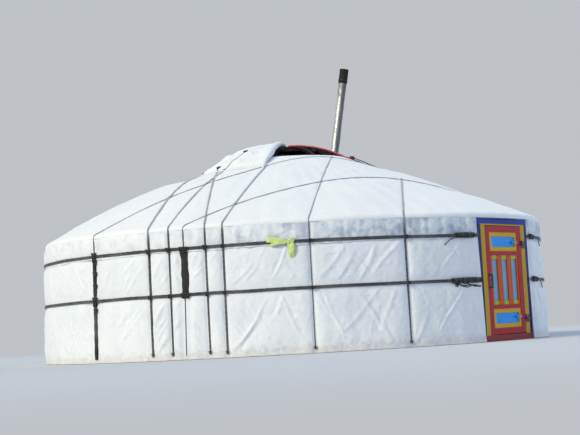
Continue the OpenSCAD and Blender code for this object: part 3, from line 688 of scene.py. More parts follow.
@dataclass(frozen=True)
class TentForm:
    """Main form of the tent in metres, worked out from the frame where it carries the size."""

    wall_lean: float = 0.032
    slope: float = math.radians(22.0)
    skirt_off: float = 0.0035
    crown_r: float = 0.768
    crown_w: float = 0.078
    crown_lap: float = 0.030
    dome_gap: float = 0.004
    dome_rise: float = 0.022
    flap_r: float = 1.130
    flap_t: float = 0.008
    rope_t: float = 0.010
    play: float = 0.0004
    door_gap: float = 0.0005
    near_dir: float = 219.5

    @property
    def wall_r(self) -> float:
        """Outer radius of the wall canvas at the ground."""
        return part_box("wall_canvas")[1].x

    @property
    def wall_top(self) -> float:
        """Height of the wall canvas."""
        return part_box("wall_canvas")[1].z

    @property
    def eave_r(self) -> float:
        """Radius of the eaves."""
        return self.wall_r - self.wall_lean + self.skirt_off

    @property
    def roof_in(self) -> float:
        """Radius of the round hole in the roof canvas."""
        return self.crown_r - self.crown_lap

    @property
    def eave_z(self) -> float:
        """Height of the eaves."""
        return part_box("roof_canvas")[1].z - (self.eave_r - self.roof_in) * math.tan(self.slope)

    @property
    def door_x(self) -> float:
        """Half the width that the covers leave open for the doorway."""
        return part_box("door_lintel")[1].x + self.door_gap

    @property
    def ring_mid(self) -> float:
        """Radius of the middle of the crown ring."""
        return self.crown_r - self.crown_w / 2

    @property
    def crown_top(self) -> float:
        """Height of the top of the crown ring."""
        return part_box("crown_ring")[1].z

    @property
    def near_turn(self) -> float:
        """Turn in radians from the door's side to the near side."""
        return math.radians(self.near_dir - 270.0)

    def skirt_out(self, z: Many) -> Many:
        """Returns the outer radius of the covers on the wall at a height."""
        return self.wall_r - self.wall_lean * z / self.wall_top + self.skirt_off

    def roof_z(self, r: Many) -> Many:
        """Returns the height of the roof canvas at a radius."""
        return self.eave_z + (self.eave_r - r) * math.tan(self.slope)

    def dome_z(self, r: Many) -> Many:
        """Returns the height of the upper side of the crown ribs at a radius."""
        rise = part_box("crown_boss")[1].z - self.crown_top
        radius = (self.ring_mid ** 2 + rise ** 2) / (2 * rise)
        return self.crown_top + rise - radius + np.sqrt(radius ** 2 - r ** 2)

    def flap_low(self, r: Many) -> Many:
        """Returns the height of the underside of the crown flap at a radius."""
        knee = self.crown_r + self.crown_lap
        lift = (self.rope_t + self.play) / math.cos(self.slope) + self.play
        inner = np.minimum(r, self.ring_mid)
        dome = self.dome_z(inner) + self.dome_gap + self.dome_rise * inner / self.ring_mid
        share = np.clip((r - self.ring_mid) / (knee - self.ring_mid), 0.0, 1.0)
        roof = self.roof_z(np.maximum(r, knee)) + lift
        return dome * (1.0 - share) + roof * share


class Maker:
    """Collects grids, ropes and knots and turns them into one mesh object."""

    TIP = 0.45

    def __init__(self) -> None:
        """Starts with nothing."""
        self.points: List[Array] = []
        self.faces: List[List[int]] = []
        self.cloth: List[Array] = []
        self.count = 0

    def grid(self, points: Array, cloth: Array, closed: bool = False, flip: bool = False) -> None:
        """Adds a grid of four-sided faces.

        Args:
            points: rows by columns by 3.
            cloth: map in metres, rows by columns by 2, with one column more if closed.
            closed: whether the last column joins the first.
            flip: whether the faces look the other way.
        """
        rows, cols = points.shape[:2]
        index = self.count + np.arange(rows * cols).reshape(rows, cols)
        if closed:
            index = np.concatenate([index, index[:, :1]], axis=1)
        corners = [index[:-1, :-1], index[:-1, 1:], index[1:, 1:], index[1:, :-1]]
        maps = [cloth[:-1, :-1], cloth[:-1, 1:], cloth[1:, 1:], cloth[1:, :-1]]
        if flip:
            corners.reverse()
            maps.reverse()
        self.faces.extend(np.stack(corners, axis=-1).reshape(-1, 4).tolist())
        self.cloth.append(np.stack(maps, axis=2).reshape(-1, 2))
        self.points.append(points.reshape(-1, 3))
        self.count += rows * cols

    def tube(self, path: Array, side: Array, radius: float, lobes: int = 2, sides: int = 8,
             pitch: float = 0.06, depth: float = 0.16) -> None:
        """Adds a twisted rope along a path.

        Args:
            path: its points, n by 3.
            side: a direction across the path, one or n by 3.
            radius: outer radius.
            lobes: number of strands.
            sides: points round the rope.
            pitch: length of one turn of the strands.
            depth: depth of the grooves between strands, as a share of the radius.
        """
        ahead = unit(np.gradient(path, axis=0))
        side = np.broadcast_to(side, path.shape)
        side = unit(side - np.sum(side * ahead, axis=1, keepdims=True) * ahead)
        up = np.cross(side, ahead)
        way = np.concatenate([[0.0], np.cumsum(np.linalg.norm(np.diff(path, axis=0), axis=1))])
        turn = np.linspace(0.0, TURN, sides + 1)[:-1]
        wave = np.cos(lobes * (turn[None, :] - TURN * way[:, None] / (pitch * lobes)))
        reach = radius * (1.0 - depth * 0.5 + depth * 0.5 * wave)
        ends = np.ones(len(path))
        ends[[0, -1]] = self.TIP
        reach = (reach * ends[:, None])[..., None]
        ring = np.cos(turn)[None, :, None] * side[:, None, :] + np.sin(turn)[None, :, None] * up[:, None, :]
        points = path[:, None, :] + reach * ring
        around = np.linspace(0.0, TURN * radius, sides + 1)
        cloth = cut(way[:, None], around[None, :])
        first = self.count
        self.grid(points, cloth, closed=True, flip=True)
        last = first + (len(path) - 1) * sides
        for start, step in ((first, -1), (last, 1)):
            self.faces.append([start + k for k in range(sides)][::step])
            self.cloth.append(np.zeros((sides, 2)))

    def roll(self, path: Array, side: Array, radius: float, sides: int = 6) -> None:
        """Adds a plain round roll, such as a hem or a bead, along a path."""
        self.tube(path, side, radius, lobes=1, sides=sides, depth=0.0)

    def knot(self, centre: Array, out: Array, size: float, thick: float) -> None:
        """Adds a small overhand knot.

        Args:
            centre: its middle.
            out: direction away from the surface that it lies on.
            size: radius of its loops.
            thick: radius of its rope.
        """
        t = np.linspace(0.0, TURN, 40)
        out = unit(out)
        across = np.cross(out, UP)
        if np.linalg.norm(across) < 0.2:
            across = np.cross(out, [1.0, 0.0, 0.0])
        across = unit(across)
        along = np.cross(across, out)
        x = (np.sin(t) + 2.0 * np.sin(2.0 * t)) * size / 3.0
        y = (np.cos(t) - 2.0 * np.cos(2.0 * t)) * size / 3.0
        z = -np.sin(3.0 * t) * thick * 0.9
        path = centre + x[:, None] * across + y[:, None] * along + (z[:, None] + thick) * out
        self.tube(path, out, thick, sides=6, pitch=0.05)

    def build(self, name: str, finish: Finish) -> Piece:
        """Makes the mesh object.

        Args:
            name: its name.
            finish: its finish.

        Returns:
            The object, linked to the scene.
        """
        mesh = bpy.data.meshes.new(name)
        mesh.from_pydata(np.concatenate(self.points).tolist(), [], self.faces)
        layer = mesh.uv_layers.new(name="cloth")
        layer.data.foreach_set("uv", np.concatenate(self.cloth).astype(np.float32).ravel())
        mesh.polygons.foreach_set("use_smooth", [True] * len(mesh.polygons))
        mesh.materials.append(finish.material())
        mesh.update()
        return place(name, mesh)


def place(name: str, data: bpy.types.ID) -> Piece:
    """Makes an object and links it to the scene.

    Args:
        name: its name.
        data: its mesh, lamp or camera.

    Returns:
        The object.
    """
    made = bpy.data.objects.new(name, data)
    bpy.context.scene.collection.objects.link(made)
    return made


def thicken(piece: Piece, thickness: float) -> None:
    """Gives a sheet its thickness, inwards.

    Args:
        piece: the sheet.
        thickness: in metres.
    """
    solid = piece.modifiers.new("thickness", "SOLIDIFY")
    solid.thickness = thickness
    solid.offset = -1.0
    bpy.context.view_layer.objects.active = piece
    with bpy.context.temp_override(object=piece, active_object=piece, selected_objects=[piece]):
        bpy.ops.object.modifier_apply(modifier=solid.name)


def settle(piece: Piece, slot: str, *nodes: str, body: str = "tent") -> Piece:
    """Puts a piece on its body.

    Args:
        piece: the piece.
        slot: the record's material slot, which is not used.
        nodes: the nodes of the frame that it stands for.
        body: the body that carries it.

    Returns:
        The piece.
    """
    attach(piece, body)
    if nodes:
        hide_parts(*nodes)
    return piece


def finish_nodes(finish: Finish, *starts: str) -> None:
    """Gives nodes of the frame their finish.

    Args:
        finish: the finish.
        starts: how the nodes' names start.
    """
    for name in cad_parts:
        if name.startswith(starts):
            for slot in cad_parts[name].material_slots:
                slot.material = finish.material()
            LOG.info("%s: %s", name, finish.name)


# Lacing


@dataclass(frozen=True)
class Strand:
    """One rope from an inner point on the roof, out over the eaves and down the wall, in plan."""

    inner: Pair
    outer: Pair

    @property
    def heading(self) -> Array:
        """Direction from the inner to the outer point."""
        return unit(np.subtract(self.outer, self.inner))

    def way_to(self, radius: Many) -> Many:
        """Returns how far out the strand reaches a radius."""
        inner = np.array(self.inner)
        along = float(inner @ self.heading)
        return -along + np.sqrt(np.maximum(along ** 2 + np.square(radius) - float(inner @ inner), 0.0))

    def at(self, way: Many) -> Array:
        """Returns points in plan, some way out."""
        return np.array(self.inner) + np.asarray(way)[..., None] * self.heading

    def wall_dir(self, radius: float) -> float:
        """Returns the direction, in degrees, in which the strand comes down the wall."""
        x, y = self.at(self.way_to(radius))
        return math.degrees(math.atan2(y, x)) % 360.0

    def apart(self, x: Array, y: Array) -> Array:
        """Returns how far points in plan lie from the strand."""
        dx, dy = x - self.inner[0], y - self.inner[1]
        way = np.maximum(dx * self.heading[0] + dy * self.heading[1], 0.0)
        return np.hypot(dx - way * self.heading[0], dy - way * self.heading[1])


class Side(Enum):
    """Side of the tent. The far ropes mirror the near ones through its middle."""

    NEAR = 1.0
    FAR = -1.0


@dataclass(frozen=True)
class Lacing:
    """Array of all ropes over the covers, as the frame lays them."""

    form: TentForm
    slants: Pair = (26.0, 31.0)
    offsets: Pair = (0.830, 1.740)
    tied_dirs: Triple = (203.5, 220.0, 238.5)
    tied_ways: Triple = (-0.730, 0.170, 0.455)
    tied_to: Tuple[int, int, int] = (0, 0, 1)
    flap_low: Tuple[float, ...] = (188.5, 192.5, 201.0, 9.5, 30.5, 346.0)
    flap_high: Tuple[float, ...] = (127.0, 172.0, 164.5, 328.5, 26.5, 331.0)
    flap_in: float = 0.060
    past_wall: float = 0.220

    @property
    def reach(self) -> float:
        """Radius at which every strand's plan ends."""
        return self.form.wall_r + self.past_wall

    def seen(self, right: float, away: float) -> Array:
        """Returns a plan point given as seen by somebody who stands before the near side."""
        cos, sin = math.cos(self.form.near_turn), math.sin(self.form.near_turn)
        return np.array([right * cos - away * sin, right * sin + away * cos])

    def long_point(self, k: int, way: float) -> Array:
        """Returns a point on long rope k, some way along it."""
        slant = math.radians(self.slants[k])
        return self.seen(
            self.offsets[k] * math.sin(slant) + way * math.cos(slant),
            way * math.sin(slant) - self.offsets[k] * math.cos(slant),
        )

    def long_strands(self, k: int, side: Side = Side.NEAR) -> List[Strand]:
        """Returns the two halves of long rope k."""
        foot = tuple(side.value * self.long_point(k, 0.0))
        return [Strand(foot, tuple(side.value * self.long_point(k, end * self.reach))) for end in (-1.0, 1.0)]

    def tie_strands(self, side: Side = Side.NEAR) -> List[Strand]:
        """Returns the ties from the long ropes down."""
        return [
            Strand(tuple(side.value * self.long_point(k, way)), tuple(side.value * plan(self.reach, low)))
            for k, way, low in zip(self.tied_to, self.tied_ways, self.tied_dirs)
        ]

    def flap_strands(self) -> List[Strand]:
        """Returns the ropes from the rim of the flap down."""
        return [
            Strand(tuple(plan(self.form.flap_r - self.flap_in, high)), tuple(plan(self.reach, low)))
            for low, high in zip(self.flap_low, self.flap_high)
        ]

    def all_strands(self) -> List[Strand]:
        """Returns every strand."""
        found = []
        for side in Side:
            found += self.long_strands(0, side) + self.long_strands(1, side) + self.tie_strands(side)
        return found + self.flap_strands()

    def wall_dirs(self) -> Array:
        """Returns the directions in which ropes come down the wall, in degrees."""
        return np.array([strand.wall_dir(self.form.eave_r) for strand in self.all_strands()])

    @property
    def bundle_dir(self) -> float:
        """Direction of the thick bundle of ropes at the left of the near side."""
        return self.long_strands(0)[0].wall_dir(self.form.eave_r + 0.012)

    @property
    def strap_dir(self) -> float:
        """Direction of the broad strap, which takes the place of a long rope's left end."""
        return self.long_strands(1)[0].wall_dir(self.form.eave_r + 0.009)


@dataclass(frozen=True)
class Swell:
    """How far the stuffed covers stand off the bare canvas of the frame, in metres."""

    form: TentForm
    lacing: Lacing
    roof_base: float = 0.010
    roof_puff: float = 0.024
    roof_full: float = 0.050
    wall_puff: float = 0.027
    girdle_heights: Pair = (0.690, 1.185)
    pinch_widths: Pair = (0.085, 0.075)
    girdle_clear: float = 0.0138
    rope_clear: float = 0.0035

    def bed(self, x: Array, y: Array) -> Array:
        """Returns how far the ropes lie off the roof canvas, fuller on the left of the near side."""
        r = np.hypot(x, y)
        right = x * math.cos(self.form.near_turn) + y * math.sin(self.form.near_turn)
        slack = np.sin(math.pi * np.clip((self.form.eave_r - r) / (self.form.eave_r - 1.0), 0.0, 1.0))
        full = self.roof_full * ease(-right, -0.2, 1.9) + 0.008
        return self.roof_base * (0.35 + 0.65 * ease(r, 1.0, 1.35)) + full * slack * ease(r, 1.0, 1.6)

    def roof(self, x: Array, y: Array) -> Array:
        """Returns how far the roof cover stands off between and under its ropes."""
        r = np.hypot(x, y)
        near = np.full(r.shape, 9.0)
        for strand in self.lacing.all_strands():
            near = np.minimum(near, strand.apart(x, y))
        open_span = ease(r, 1.12, 1.5) * (1.0 - 0.55 * ease(r, self.form.eave_r - 0.5, self.form.eave_r))
        puff = self.roof_puff * (1.0 - bell(near, 0.26)) * open_span
        waves = Waves(11, 30, 1.3, 0.22).at(x, y) * 0.0045 * (1.0 - bell(near, 0.10)) * open_span
        poles = 0.0022 * np.cos(64.0 * np.arctan2(y, x)) * ease(r, 1.1, 1.5)
        groove = -0.0045 * bell(near, 0.016) * ease(r, 1.0, 1.2)
        return self.bed(x, y) + puff + waves + poles + groove

    def rope_gap(self, degrees: Array) -> Array:
        """Returns the distance along the wall to the nearest rope."""
        near = np.full(np.shape(degrees), 9.0)
        for at in self.lacing.wall_dirs():
            near = np.minimum(near, bow(degrees, at) * self.form.wall_r)
        return near

    def wall(self, degrees: Array, z: Array) -> Array:
        """Returns how far the wall cover stands off, before its creases."""
        pinch = 0.0
        for height, width in zip(self.girdle_heights, self.pinch_widths):
            pinch = pinch + bell(z - height, width)
        puff = self.wall_puff - (self.wall_puff - self.girdle_clear) * np.clip(pinch, 0.0, 1.0)
        puff = puff * (0.70 + 0.30 * ease(z, 0.0, 0.20))
        puff = puff * (1.0 - 0.8 * ease(z, 1.195, 1.235))
        gap = self.rope_gap(degrees)
        strap = bow(degrees, self.lacing.strap_dir) * self.form.wall_r
        broad = bow(degrees, self.lacing.bundle_dir) * self.form.wall_r
        held = np.clip(bell(gap, 0.020) + 0.60 * bell(gap, 0.060), 0.0, 1.0)
        held = np.maximum(held, 1.0 - ease(strap, 0.036, 0.11))
        held = np.maximum(held, 1.0 - ease(broad, 0.045, 0.24))
        return puff * (1.0 - held) + self.rope_clear * held


# Cloth covers


@dataclass(frozen=True)
class Crease:
    """One sharp tension fold in the wall cover: a line with a height and a width."""

    start: Pair
    end: Pair
    height: float
    width: float

    def at(self, x: Array, z: Array) -> Array:
        """Returns the crease's height at points of the unrolled wall."""
        way = np.subtract(self.end, self.start)
        length = float(np.linalg.norm(way))
        way = way / length
        along = ((x - self.start[0]) * way[0] + (z - self.start[1]) * way[1]) / length
        off = (x - self.start[0]) * way[1] - (z - self.start[1]) * way[0]
        off = off + 0.012 * np.sin(along * 5.0 + self.start[0] * 7.0)
        body = bell(off, self.width) - 0.55 * bell(off - 1.9 * self.width, 1.5 * self.width)
        ends = ease(along, -0.05, 0.22) * (1.0 - ease(along, 0.62, 1.05))
        return self.height * body * ends


class Hand(Enum):
    """Side of the doorway, as seen from outside."""

    LEFT = -1.0
    RIGHT = 1.0


@dataclass(frozen=True)
class WallCover:
    """White canvas wrapped round the wall, pinched by girdles and ropes and creased between them."""

    form: TentForm
    swell: Swell
    foot: float = 0.004
    top: float = 1.245
    hem: float = 0.006
    tuck: float = 0.10
    seam_dir: float = 108.0
    seam_lap: float = 2.0
    door_dirs: Pair = (-79.7, 259.7)
    waves: Waves = Waves(23, 34, 0.9, 0.12, lean=0.35)
    fine: Waves = Waves(29, 40, 0.16, 0.05)
    crease_seed: int = 400
    crease_low: float = 0.02
    crease_heights: Pair = (0.003, 0.0085)
    crease_widths: Pair = (0.010, 0.024)
    canvas: Canvas = Canvas("wall_canvas_cloth", (0.81, 0.825, 0.85), shade=(0.64, 0.68, 0.75),
                            splash_top=0.13, mottle=0.30, streaks=0.15, crumple=0.0035)

    def creases(self, first: float, last: float) -> List[Crease]:
        """Draws the creases between two directions.

        Args:
            first: where the piece starts, in degrees.
            last: where it ends.

        Returns:
            The creases, in metres of the unrolled wall.
        """
        draw = np.random.default_rng(int(first) + self.crease_seed)
        dirs = np.sort(self.swell.lacing.wall_dirs())
        dirs = np.concatenate([dirs - 360.0, dirs, dirs + 360.0])
        posts = [first] + [d for d in dirs if first < d < last] + [last]
        found: List[Crease] = []
        radius = self.form.wall_r
        girdle_low, girdle_up = self.swell.girdle_heights
        for left, right in zip(posts[:-1], posts[1:]):
            x0, x1 = math.radians(left) * radius, math.radians(right) * radius
            width = x1 - x0
            if width < 0.12:
                continue
            for low, high in ((self.crease_low, girdle_low), (girdle_low, girdle_up)):
                for _ in range(int(round(3 + 3.2 * width))):
                    side = draw.choice([-1.0, 1.0])
                    x = (x0 if side > 0 else x1) + side * draw.uniform(0.0, 0.35) * width
                    top = draw.random() < 0.62
                    z = high - draw.uniform(0.0, 0.10) if top else low + draw.uniform(0.0, 0.12)
                    fall = draw.uniform(0.45, 1.0) * (high - low) * (-1.0 if top else 1.0)
                    run = side * draw.uniform(0.35, 1.1) * abs(fall)
                    found.append(Crease((x, z), (x + run, z + fall), draw.uniform(*self.crease_heights),
                                        draw.uniform(*self.crease_widths)))
        return found

    def piece(self, hand: Hand, first: float, last: float, cols: int, rows: int, lift: float) -> Piece:
        """Makes one length of the cover.

        Args:
            hand: side of the doorway on which it ends.
            first: where it starts, in degrees.
            last: where it ends.
            cols: columns of the mesh.
            rows: rows of the mesh.
            lift: how far it lies over its neighbour.

        Returns:
            The piece.
        """
        z = np.linspace(self.foot, self.top, rows)[:, None]
        share = even(cols)[None, :]
        rim = self.form.skirt_out(z) + 0.004
        jamb = np.degrees(np.arcsin(self.form.door_x / rim))
        start = -90.0 + jamb if hand is Hand.RIGHT else np.full_like(jamb, first)
        end = 270.0 - jamb if hand is Hand.LEFT else np.full_like(jamb, last)
        degrees = start + (end - start) * share
        x = np.radians(degrees) * self.form.wall_r
        height = np.broadcast_to(z, degrees.shape)
        off = self.swell.wall(degrees, height)
        free = 1.0 - np.clip(sum(bell(height - g, 0.045) for g in self.swell.girdle_heights), 0.0, 1.0)
        free = free * ease(self.swell.rope_gap(degrees), 0.008, 0.07)
        free = free * ease(bow(degrees, self.swell.lacing.strap_dir) * self.form.wall_r, 0.035, 0.10)
        slack = self.waves.at(x, height) * (0.0035 + 0.005 * (1.0 - ease(height, 0.0, 0.45)))
        fold = self.fine.at(x, height) * 0.0012
        for crease in self.creases(first, last):
            fold = fold + crease.at(x, height)
        off = off + (slack + fold) * free
        edge = share if hand is Hand.RIGHT else 1.0 - share
        edge = edge * math.radians(abs(last - first)) * self.form.wall_r
        off = 0.002 + (np.maximum(off, 0.003) - 0.002) * ease(edge, 0.0, self.tuck)
        hem = self.hem * bell(height - self.foot, 0.018)
        r = self.form.wall_r - self.form.wall_lean * height / self.form.wall_top + off + hem + lift
        maker = Maker()
        maker.grid(polar(r, np.radians(degrees), height), cut(x, height))
        return maker.build(f"wall_cover_{hand.name.lower()}", self.canvas)

    def build(self) -> List[Piece]:
        """Makes both lengths of the wall cover.

        Returns:
            The pieces.
        """
        start, end = self.door_dirs
        left = self.piece(Hand.LEFT, self.seam_dir - self.seam_lap, end, 820, 96, 0.003)
        right = self.piece(Hand.RIGHT, start, self.seam_dir, 700, 76, 0.0)
        settle(left, "wall_cloth", "wall_canvas")
        settle(right, "wall_cloth")
        return [left, right]


@dataclass(frozen=True)
class RoofCover:
    """White roof canvas, its rounded eaves and the gathered valance under them."""

    form: TentForm
    swell: Swell
    pipe_foot: Triple
    fillet: float = 0.060
    fillet_steps: int = 9
    wall_off: float = 0.015
    low: float = 1.384
    hem_r: float = 0.005
    hem_in: float = 0.006
    valance_low: float = 1.150
    valance_up: float = 0.014
    valance_t: float = 0.003
    pleats: Waves = Waves(41, 26, 0.16, 0.055, lean=0.12)
    # The valance's darker bluish colour and heavy dark blue blotches are painted shade on its side towards -Y; the
    # back keeps the plain cloth colour.
    band: Canvas = Canvas("valance_cloth", (0.74, 0.77, 0.81), shade=(0.38, 0.44, 0.54), mottle=0.85,
                          streaks=0.2, blots=9.0, unshaded_back=(0.82, 0.83, 0.85))

    @property
    def flat_end(self) -> float:
        """Radius at which the flat of the roof ends and its rounding starts."""
        return self.form.eave_r + self.wall_off - self.fillet * 0.62

    def shoulder(self, lift: Array, off: float, low: float) -> Tuple[Array, Array]:
        """Works out the rounded profile from the roof to the wall.

        Args:
            lift: how far the roof stands off, along the directions.
            off: how far the wall part stands off.
            low: height of the lower end.

        Returns:
            Radii and heights, each with one row for a point of the profile.
        """
        cos, sin = math.cos(self.form.slope), math.sin(self.form.slope)
        tangent = self.fillet * math.tan((math.pi / 2 - self.form.slope) / 2)
        corner_r = np.full_like(lift, self.form.eave_r + off)
        corner_z = self.form.roof_z(corner_r) + lift / cos
        t = even(self.fillet_steps)[:, None]
        a, b, c = (1.0 - t) ** 2, 2.0 * t * (1.0 - t), t ** 2
        r = a * (corner_r - tangent * cos) + b * corner_r + c * (corner_r + tangent * 0.02)
        z = a * (corner_z + tangent * sin) + b * corner_z + c * (corner_z - tangent)
        down = even(4)[1:, None]
        lower = z[-1] + (low - z[-1]) * down
        rim = self.form.skirt_out(lower) + off
        shift = r[-1] - (self.form.skirt_out(z[-1]) + off)
        return np.concatenate([r, rim + shift * (1.0 - down)]), np.concatenate([z, lower])

    def cover(self) -> Piece:
        """Makes the roof cover with its rolled inner hem.

        Returns:
            The piece.
        """
        cols, rows = 720, 104
        around = np.linspace(0.0, TURN, cols + 1)
        turn = around[:-1]
        inner = self.form.roof_in + self.hem_in
        radii = inner + (self.flat_end - inner) * even(rows) ** 0.92
        r = np.broadcast_to(radii[:, None], (rows, cols))
        off = self.swell.roof(r * np.cos(turn), r * np.sin(turn))
        z = self.form.roof_z(r) + off / math.cos(self.form.slope)
        side_r, side_z = self.shoulder(off[-1], self.wall_off, self.low)
        hem_t = np.linspace(math.pi, 0.0, 6)[:-1, None]
        hem_r = inner - self.hem_r * np.sin(hem_t) + 0.0 * turn
        hem_z = z[0] - self.hem_r + self.hem_r * np.cos(hem_t)
        r = np.concatenate([hem_r, r, side_r[1:]])
        z = np.concatenate([hem_z, z, side_z[1:]])
        steps = np.hypot(np.diff(r[:, :1], axis=0), np.diff(z[:, :1], axis=0))
        fall = np.concatenate([[[0.0]], np.cumsum(steps, axis=0)])
        maker = Maker()
        maker.grid(polar(r, turn, z), cut(around[None, :] * 2.2, fall), closed=True, flip=True)
        return maker.build("roof_cover", Canvas("roof_canvas_cloth", (0.84, 0.84, 0.84), mottle=0.10,
                                                streaks=0.10, crumple=0.003, pipe=self.pipe_foot))

    def valance(self) -> Piece:
        """Makes the gathered band between the eaves and the upper girdle.

        Returns:
            The piece.
        """
        cols, top, low = 1500, self.low + self.valance_up, self.valance_low
        z = np.concatenate([np.linspace(top, 1.215, 10), np.linspace(1.205, low, 6)])[:, None]
        rim = self.form.skirt_out(z) + 0.006
        jamb = np.degrees(np.arcsin(self.form.door_x / rim))
        share = even(cols)[None, :]
        degrees = -90.0 + jamb + (360.0 - 2.0 * jamb) * share
        x = np.radians(degrees) * self.form.wall_r
        height = np.broadcast_to(z, degrees.shape)
        girdle = self.swell.girdle_heights[1]
        belly = 0.011 * np.sin(math.pi * np.clip((height - girdle) / (top - girdle), 0.0, 1.0))
        flare = 0.012 * ease(girdle - height, 0.012, 0.036)
        off = 0.0125 + belly + flare
        amount = 0.0042 * ease(np.abs(height - girdle), 0.008, 0.05) * (1.0 - ease(height, top - 0.05, top))
        off = off + self.pleats.at(x, height) * amount
        gap = self.swell.rope_gap(degrees)
        held = np.clip(bell(gap, 0.013) + 0.5 * bell(gap, 0.05), 0.0, 1.0) * (1.0 - ease(height, 1.33, 1.40))
        off = off * (1.0 - held) + (self.swell.rope_clear + 0.001) * held
        edge = np.minimum(share, 1.0 - share) * TURN * self.form.wall_r
        off = 0.003 + (off - 0.003) * ease(edge, 0.0, 0.07)
        wave = 0.006 * np.sin(x * 5.1) + 0.004 * np.sin(x * 13.7 + 1.0)
        lower = height + wave * (1.0 - ease(height, low, low + 0.05))
        r = self.form.skirt_out(lower) + off
        maker = Maker()
        maker.grid(polar(r, np.radians(degrees), lower), cut(x, lower), flip=True)
        band = maker.build("valance", self.band)
        thicken(band, self.valance_t)
        return band

    def build(self) -> List[Piece]:
        """Makes the roof cover and its valance.

        Returns:
            The pieces.
        """
        cover = settle(self.cover(), "roof_cloth", "roof_canvas")
        band = settle(self.valance(), "roof_cloth")
        return [cover, band]


@dataclass(frozen=True)
class PipeAxis:
    """Middle line of the leaning stove pipe."""

    radius: float = 0.050
    cap_r: float = 0.056

    @property
    def bottom(self) -> Array:
        """Middle of the pipe's lower end."""
        low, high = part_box("pipe_lower")
        return np.array([low.x + self.radius, high.y - self.radius, low.z])

    @property
    def along(self) -> Array:
        """Direction of the pipe."""
        low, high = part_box("pipe_cap")
        return unit(np.array([high.x - self.cap_r, low.y + self.cap_r, high.z]) - self.bottom)

    @property
    def across(self) -> Array:
        """First direction across the pipe, which is level."""
        return unit(np.cross(self.along, UP))

    def at(self, z: Many) -> Array:
        """Returns the points of the axis at heights."""
        bottom, along = self.bottom, self.along
        return bottom + along * ((z - bottom[2]) / along[2])

    def beside(self, points: Array) -> Array:
        """Returns the shortest ways from the axis to points."""
        offset = points - self.bottom
        return offset - (offset @ self.along)[..., None] * self.along

    def ring(self, z: float, radius: float, count: int = 40) -> Array:
        """Returns a closed circle round the axis."""
        t = np.linspace(0.0, TURN, count + 1)[:, None]
        return self.at(z) + radius * (np.cos(t) * self.across + np.sin(t) * np.cross(self.along, self.across))


